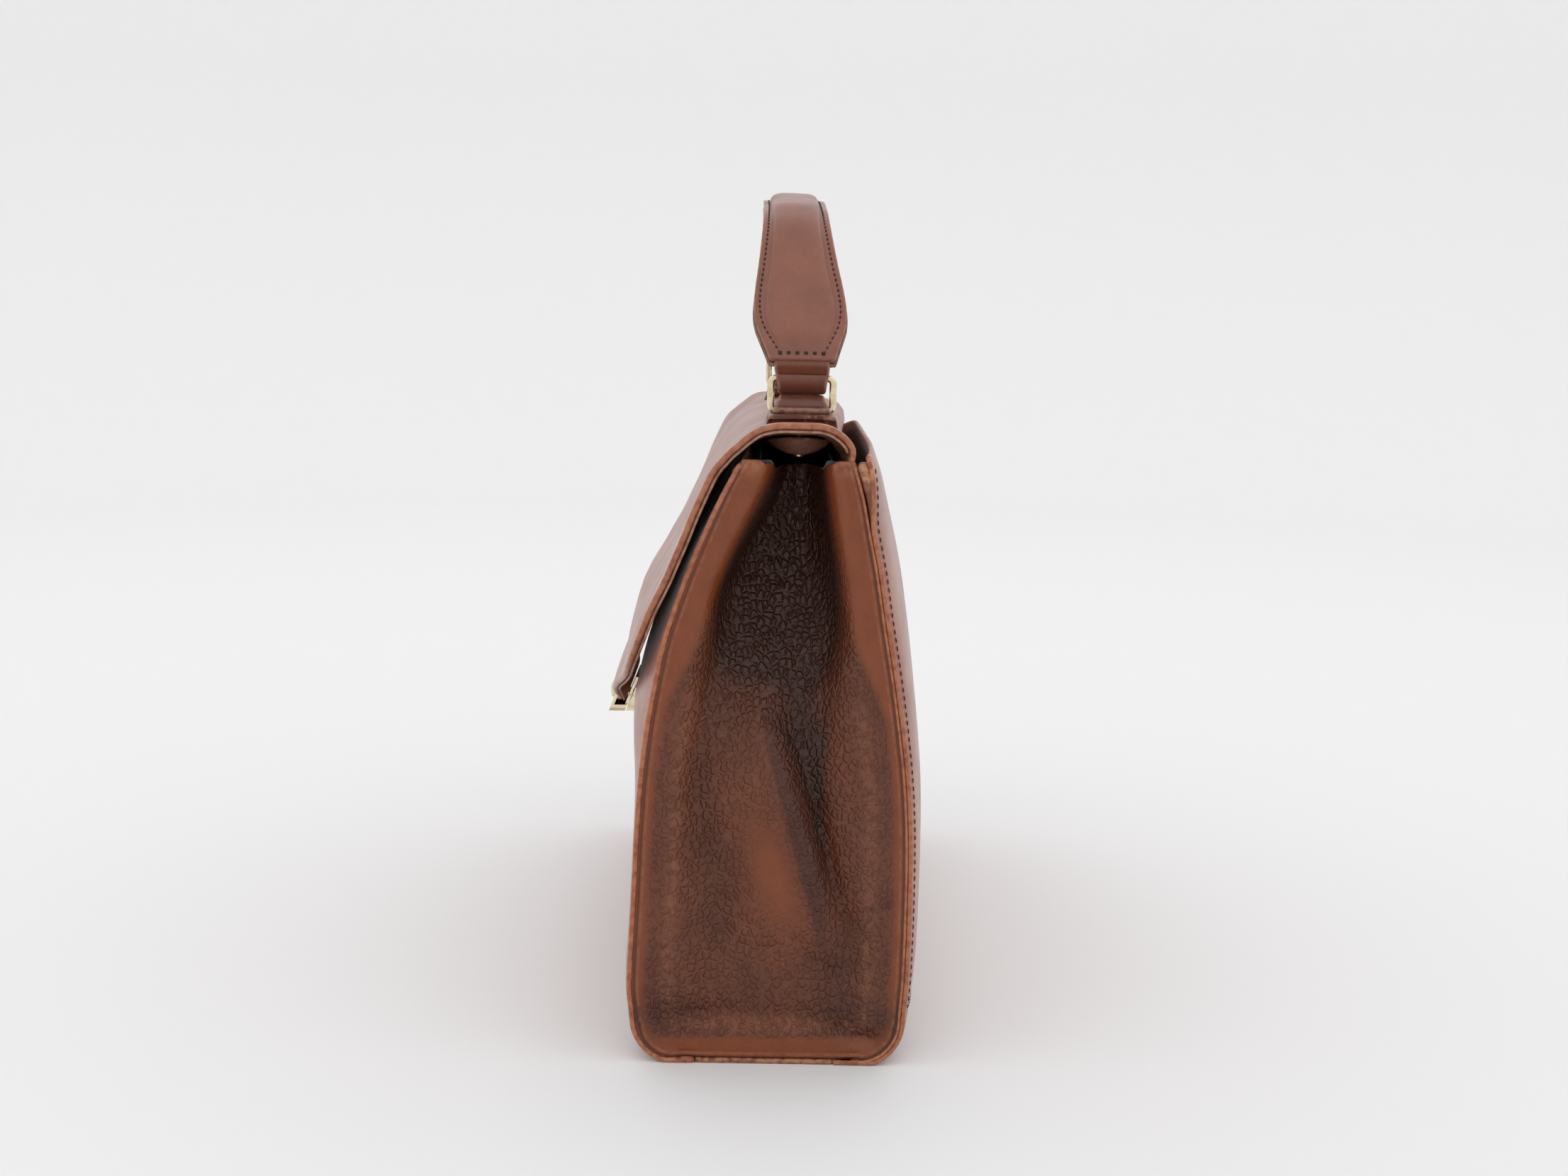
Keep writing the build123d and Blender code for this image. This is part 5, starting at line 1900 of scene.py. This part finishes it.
    def sole_piece(self, skins: Finishes) -> bpy.types.Object:
        """The flat sole under the pad.

        Args:
            skins: The finishes.

        Returns:
            The sole.
        """
        share = np.linspace(-1, 1, 24)
        x = self.line[:, 0]
        flared = 0.4 * smoothstep((np.abs(x)[:, None] - 106) / 8)
        w = self.half_width(x)[:, None] - self.sole / 2 + flared
        grid = self.line[:, None] + self.up[:, None] * self.sole / 2
        grid = np.repeat(grid, len(share), 1)
        grid[..., 1] += share[None] * w
        dirt = np.broadcast_to(0.3 + 0.35 * smoothstep((np.abs(x)[:, None] - 104) / 8), w.shape)
        return rolled_sheet("handle_sole_leather", grid, self.sole, skins.smooth,
                            paint={"dirt": np.repeat(dirt, len(share), 1)}, wear=0.5)

    def seam(self, skins: Finishes) -> bpy.types.Object:
        """Saddle stitches along both flanges.

        Args:
            skins: The finishes.

        Returns:
            One row for each flange.
        """
        keep = np.abs(self.line[:, 0]) < 124.4
        line, up = self.line[keep], self.up[keep]
        w = self.half_width(line[:, 0]) - self.seam_inset(line[:, 0])
        paths = []
        for side in (-1, 1):
            rise = self.top(line[:, 0], side * w / self.half_width(line[:, 0]))
            path = line + up * rise[:, None]
            path[:, 1] += side * w
            paths.append(path)
        pieces = [Stitching(2.9, 2.0, 0.42).sew(f"handle_stitches_{n}", p, up, skins.thread)
                  for n, p in zip(("front", "back"), paths)]
        return pieces

    def leg(self, rise: float, along: float) -> Array:
        """A point on the right leg: rise above the underside, along down from the shoulder."""
        return self.leg_root + self.out * rise + self.down * along

    def strap_piece(self, hand: int, skins: Finishes) -> bpy.types.Object:
        """The strap from between sole and cover, round the ring's upper bar, to the underside.

        Args:
            hand: 1 for the right end and -1 for the left.
            skins: The finishes.

        Returns:
            The strap.
        """
        radius = self.bore + self.strap_leather / 2
        pivot = np.array([self.ring_place, self.pivot])
        start = [self.leg(3.2, self.leg_length - 9), self.leg(2.9, self.leg_length - 4),
                 self.leg(2.2, self.leg_length + 0.4)]
        turn = np.radians(np.linspace(58, 262, 44))
        tall = np.where(np.cos(turn) < 0, self.contact - self.strap_leather / 2, radius)
        arc = pivot + np.stack([(radius + 0.3) * np.sin(turn), tall * np.cos(turn)], -1)
        tail = [self.leg(-1.9, self.leg_length - 10), self.leg(-1.75, self.leg_length - 18)]
        path = np.concatenate([start, arc, tail])
        line, _ = resampled(np.column_stack([path[:, 0], path[:, 0] * 0, path[:, 1]]), 0.8)
        half = eased((10.7, 11.0, 12.0, 12.4), (-8, -3, 2, 5), line[:, 2] - self.pivot)
        grid = np.repeat(line[:, None], 22, 1)
        level = np.linspace(-1, 1, 22) * (half - self.strap_leather / 2)[:, None]
        grid[..., 1] = self.middle + level - self.lean * np.maximum(grid[..., 2] - self.pivot, 0)
        grid[..., 0] *= hand
        low = smoothstep((self.pivot + 1 - grid[..., 2]) / 6)
        return rolled_sheet(f"handle_strap_{side_name(hand)}", grid, self.strap_leather, skins.smooth,
                            paint={"dirt": 0.25 + 0.3 * low}, wear=0.4)

    def cross_stitches(self, hand: int, skins: Finishes) -> bpy.types.Object:
        """The row of crossed stitches over the end of the cover.

        Args:
            hand: 1 for the right end and -1 for the left.
            skins: The finishes.

        Returns:
            Both slants as one piece.
        """
        foot = self.leg(self.sole + self.cover, self.leg_length - 3.4)
        middle = self.middle - self.lean * (foot[1] - self.pivot)
        path = np.array([[hand * foot[0], middle + y, foot[1]] for y in np.linspace(-9.6, 9.6, 13)])
        up = np.tile([hand * self.out[0], 0.0, self.out[1]], (len(path), 1))
        rows = [Stitching(3.84, 2.3, 0.5, slant).sew(f"x_{k}", path, up, skins.thread)
                for k, slant in enumerate((0.75, -0.75))]
        return joined(f"handle_cross_stitches_{side_name(hand)}", rows)

    def build(self, skins: Finishes) -> list[bpy.types.Object]:
        """Every piece of the handle.

        Args:
            skins: The finishes.

        Returns:
            The pieces.
        """
        cover = self.cover_piece(skins)
        pieces = [dress(cover, Body.HANDLE, Slot.SMOOTH, "handle_cover", "handle_filler"),
                  dress(self.sole_piece(skins), Body.HANDLE, Slot.SMOOTH, "handle_sole")]
        for piece in self.seam(skins):
            pieces.append(dress(piece, Body.HANDLE, Slot.SMOOTH))
        for hand in (1, -1):
            strap = self.strap_piece(hand, skins)
            pieces.append(dress(strap, Body.HANDLE, Slot.SMOOTH, f"handle_loop_{side_name(hand)}"))
            pieces.append(dress(self.cross_stitches(hand, skins), Body.HANDLE, Slot.SMOOTH))
        return pieces


def joined(name: str, pieces: list[bpy.types.Object]) -> bpy.types.Object:
    """One object from several that share a finish.

    Args:
        name: Its name.
        pieces: What is joined.

    Returns:
        The new object.
    """
    first = pieces[0]
    points = np.concatenate([np.array([v.co for v in p.data.vertices]) for p in pieces]) / MM
    faces, shift = [], 0
    for p in pieces:
        faces += [[shift + v for v in face.vertices] for face in p.data.polygons]
        shift += len(p.data.vertices)
    material = first.data.materials[0]
    for p in pieces:
        bpy.data.objects.remove(p)
    return make_object(name, points, faces, material)


# ---------------------------------------------------------------- metal and hidden pieces


@dataclass
class Fittings:
    """The CAD nodes that keep their shape: rings, clasp, lock, rivets and boards."""

    gold: tuple[str, ...] = ("ring_left", "ring_right", "clasp_front_plate", "clasp_back_plate",
                             "clasp_knob", "lock_body", "lock_plate", "lock_backing_plate",
                             "lock_rivets", "tab_rivets")
    boards: tuple[str, ...] = ("front_board", "back_board", "base_board")

    def build(self, nodes: dict[str, bpy.types.Object], skins: Finishes) -> None:
        """Gives the nodes their finishes.

        Args:
            nodes: The CAD nodes by name.
            skins: The finishes.
        """
        for names, material in ((self.gold, skins.gold), (self.boards, skins.board)):
            for name in names:
                slots = nodes[name].data.materials
                slots.clear()
                slots.append(material)
                log.info("%-28s keeps its CAD shape", name)


# ---------------------------------------------------------------- stage


@dataclass
class Stage:
    """A pale floor that sweeps up into a wall, soft lights and the camera."""

    floor: str = "#f0f0f0"
    flat: float = 2000.0
    sweep: float = 700.0
    height: float = 1250.0
    position: tuple[float, float, float] = (999.6, -8.0, 332.3)
    pitch: float = 8.637
    heading: float = 0.8
    roll: float = 1.26
    lens: float = 45.0

    def cyclorama(self) -> bpy.types.Object:
        """A round floor that sweeps up into a low wall.

        Returns:
            The floor.
        """
        turn = np.linspace(0, math.pi / 2, 24)
        rows = [(self.flat * k / 4, 0.0) for k in (1, 2, 3)]
        rows += [(self.flat + self.sweep * math.sin(a), self.sweep * (1 - math.cos(a))) for a in turn]
        rows.append((self.flat + self.sweep, self.height))
        around = 2 * np.pi * np.arange(96) / 96
        points = [(0.0, 0.0, 0.0)]
        points += [(r * math.cos(a), r * math.sin(a), z) for r, z in rows for a in around]
        n = len(around)
        faces = [(0, 1 + k, 1 + (k + 1) % n) for k in range(n)]
        rings = 1 + np.arange(len(rows) * n).reshape(len(rows), n)
        turned = np.roll(rings, -1, 1)
        faces += np.stack([rings[:-1], rings[1:], turned[1:], turned[:-1]], -1).reshape(-1, 4).tolist()
        finish = Matt("painted_floor", self.floor, self.floor, 400.0, 0.7).build()
        obj = make_object("floor_sweep", np.array(points), faces, finish)
        return obj

    def light(self, name: str, place: tuple[float, float, float], size: float,
              power: float) -> None:
        """A square soft box that faces the case.

        Its place is taken in metres, so the lamps stand far off and the even room lights the case.

        Args:
            name: The lamp's name.
            place: Where it stands.
            size: The width of its face in metres.
            power: Its power in watts.
        """
        data = bpy.data.lights.new(name, "AREA")
        data.size, data.energy = size, power
        obj = bpy.data.objects.new(name, data)
        obj.location = Vector(place)
        obj.rotation_mode = "QUATERNION"
        obj.rotation_quaternion = (Vector((0, 0, 0.15)) - obj.location).to_track_quat("-Z", "Y")
        bpy.context.scene.collection.objects.link(obj)

    def camera(self) -> None:
        """The camera, at the height and tilt of a person's view of the case's end."""
        pitch, heading, roll = (math.radians(a) for a in (self.pitch, self.heading, self.roll))
        forward = Vector((-math.cos(pitch), 0, -math.sin(pitch)))
        level = Vector((-math.sin(pitch), 0, math.cos(pitch)))
        side = Vector((0, 1, 0))
        right = side * math.cos(roll) + level * math.sin(roll)
        up = level * math.cos(roll) - side * math.sin(roll)
        turn = Matrix.Rotation(-heading, 3, "Z")
        basis = Matrix((turn @ right, turn @ up, -(turn @ forward))).transposed()
        data = bpy.data.cameras.new("view")
        data.lens, data.sensor_width, data.sensor_fit = self.lens, 36.0, "HORIZONTAL"
        data.clip_start, data.clip_end = 0.01, 30
        obj = bpy.data.objects.new("view", data)
        obj.matrix_world = Matrix.Translation(Vector(self.position) * MM) @ basis.to_4x4()
        bpy.context.scene.collection.objects.link(obj)
        bpy.context.scene.camera = obj

    def build(self) -> None:
        """Floor, world, lights and camera."""
        self.cyclorama()
        world = bpy.data.worlds.new("soft_room")
        world.use_nodes = True
        background = world.node_tree.nodes["Background"]
        background.inputs["Color"].default_value = srgb("#f7f7f8")
        background.inputs["Strength"].default_value = 1.15
        bpy.context.scene.world = world
        bpy.context.scene.view_settings.view_transform = "Standard"
        self.light("overhead", (300, -300, 1700), 1.4, 14)
        self.light("front_key", (800, -1300, 1000), 0.8, 24)
        self.light("back_fill", (900, 1200, 900), 1.2, 4)
        self.camera()


def box_of(node: str) -> tuple[Vector, Vector]:
    """A CAD node's low and high corners in millimetres."""
    low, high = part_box(node)
    return low / MM, high / MM


def main() -> None:
    """Builds every part of the briefcase in order."""
    low, high = box_of("front_panel")
    half_length = high.x
    section = Section(-low.y, high.z)
    joints = {j["name"]: [c / MM for c in j["pos_m"]] for j in frame["joints"]}
    skins = Finishes()
    Stage().build()
    CaseShell(section, half_length).build(skins)
    Gusset(replace(section, fullness=1.0), half_length).build(skins)
    Lining(section, half_length).build(skins)
    MouthBinding(section, half_length).build(skins)
    Pocket(section, half_length).build(skins)
    flap_low, flap_high = box_of("flap_leather")
    hinge = joints["flap_hinge"]
    form = FlapForm((hinge[1], hinge[2]), flap_high.x, (flap_low.y, flap_low.z))
    Flap(form, section).build(skins)
    CrownBar(form).build(skins)
    lower = joints["ring_right_tilt"]
    upper = joints["handle_level"]
    for hand in (1, -1):
        RingTab(form, hand * abs(lower[0]), lower[2], lower[1]).build(skins)
    _, handle_high = box_of("handle_cover")
    Handle(lower[1], handle_high.z, abs(upper[0]), upper[2]).build(skins)
    Fittings().build(frame["nodes"], skins)


if __name__ == "__main__":
    main()
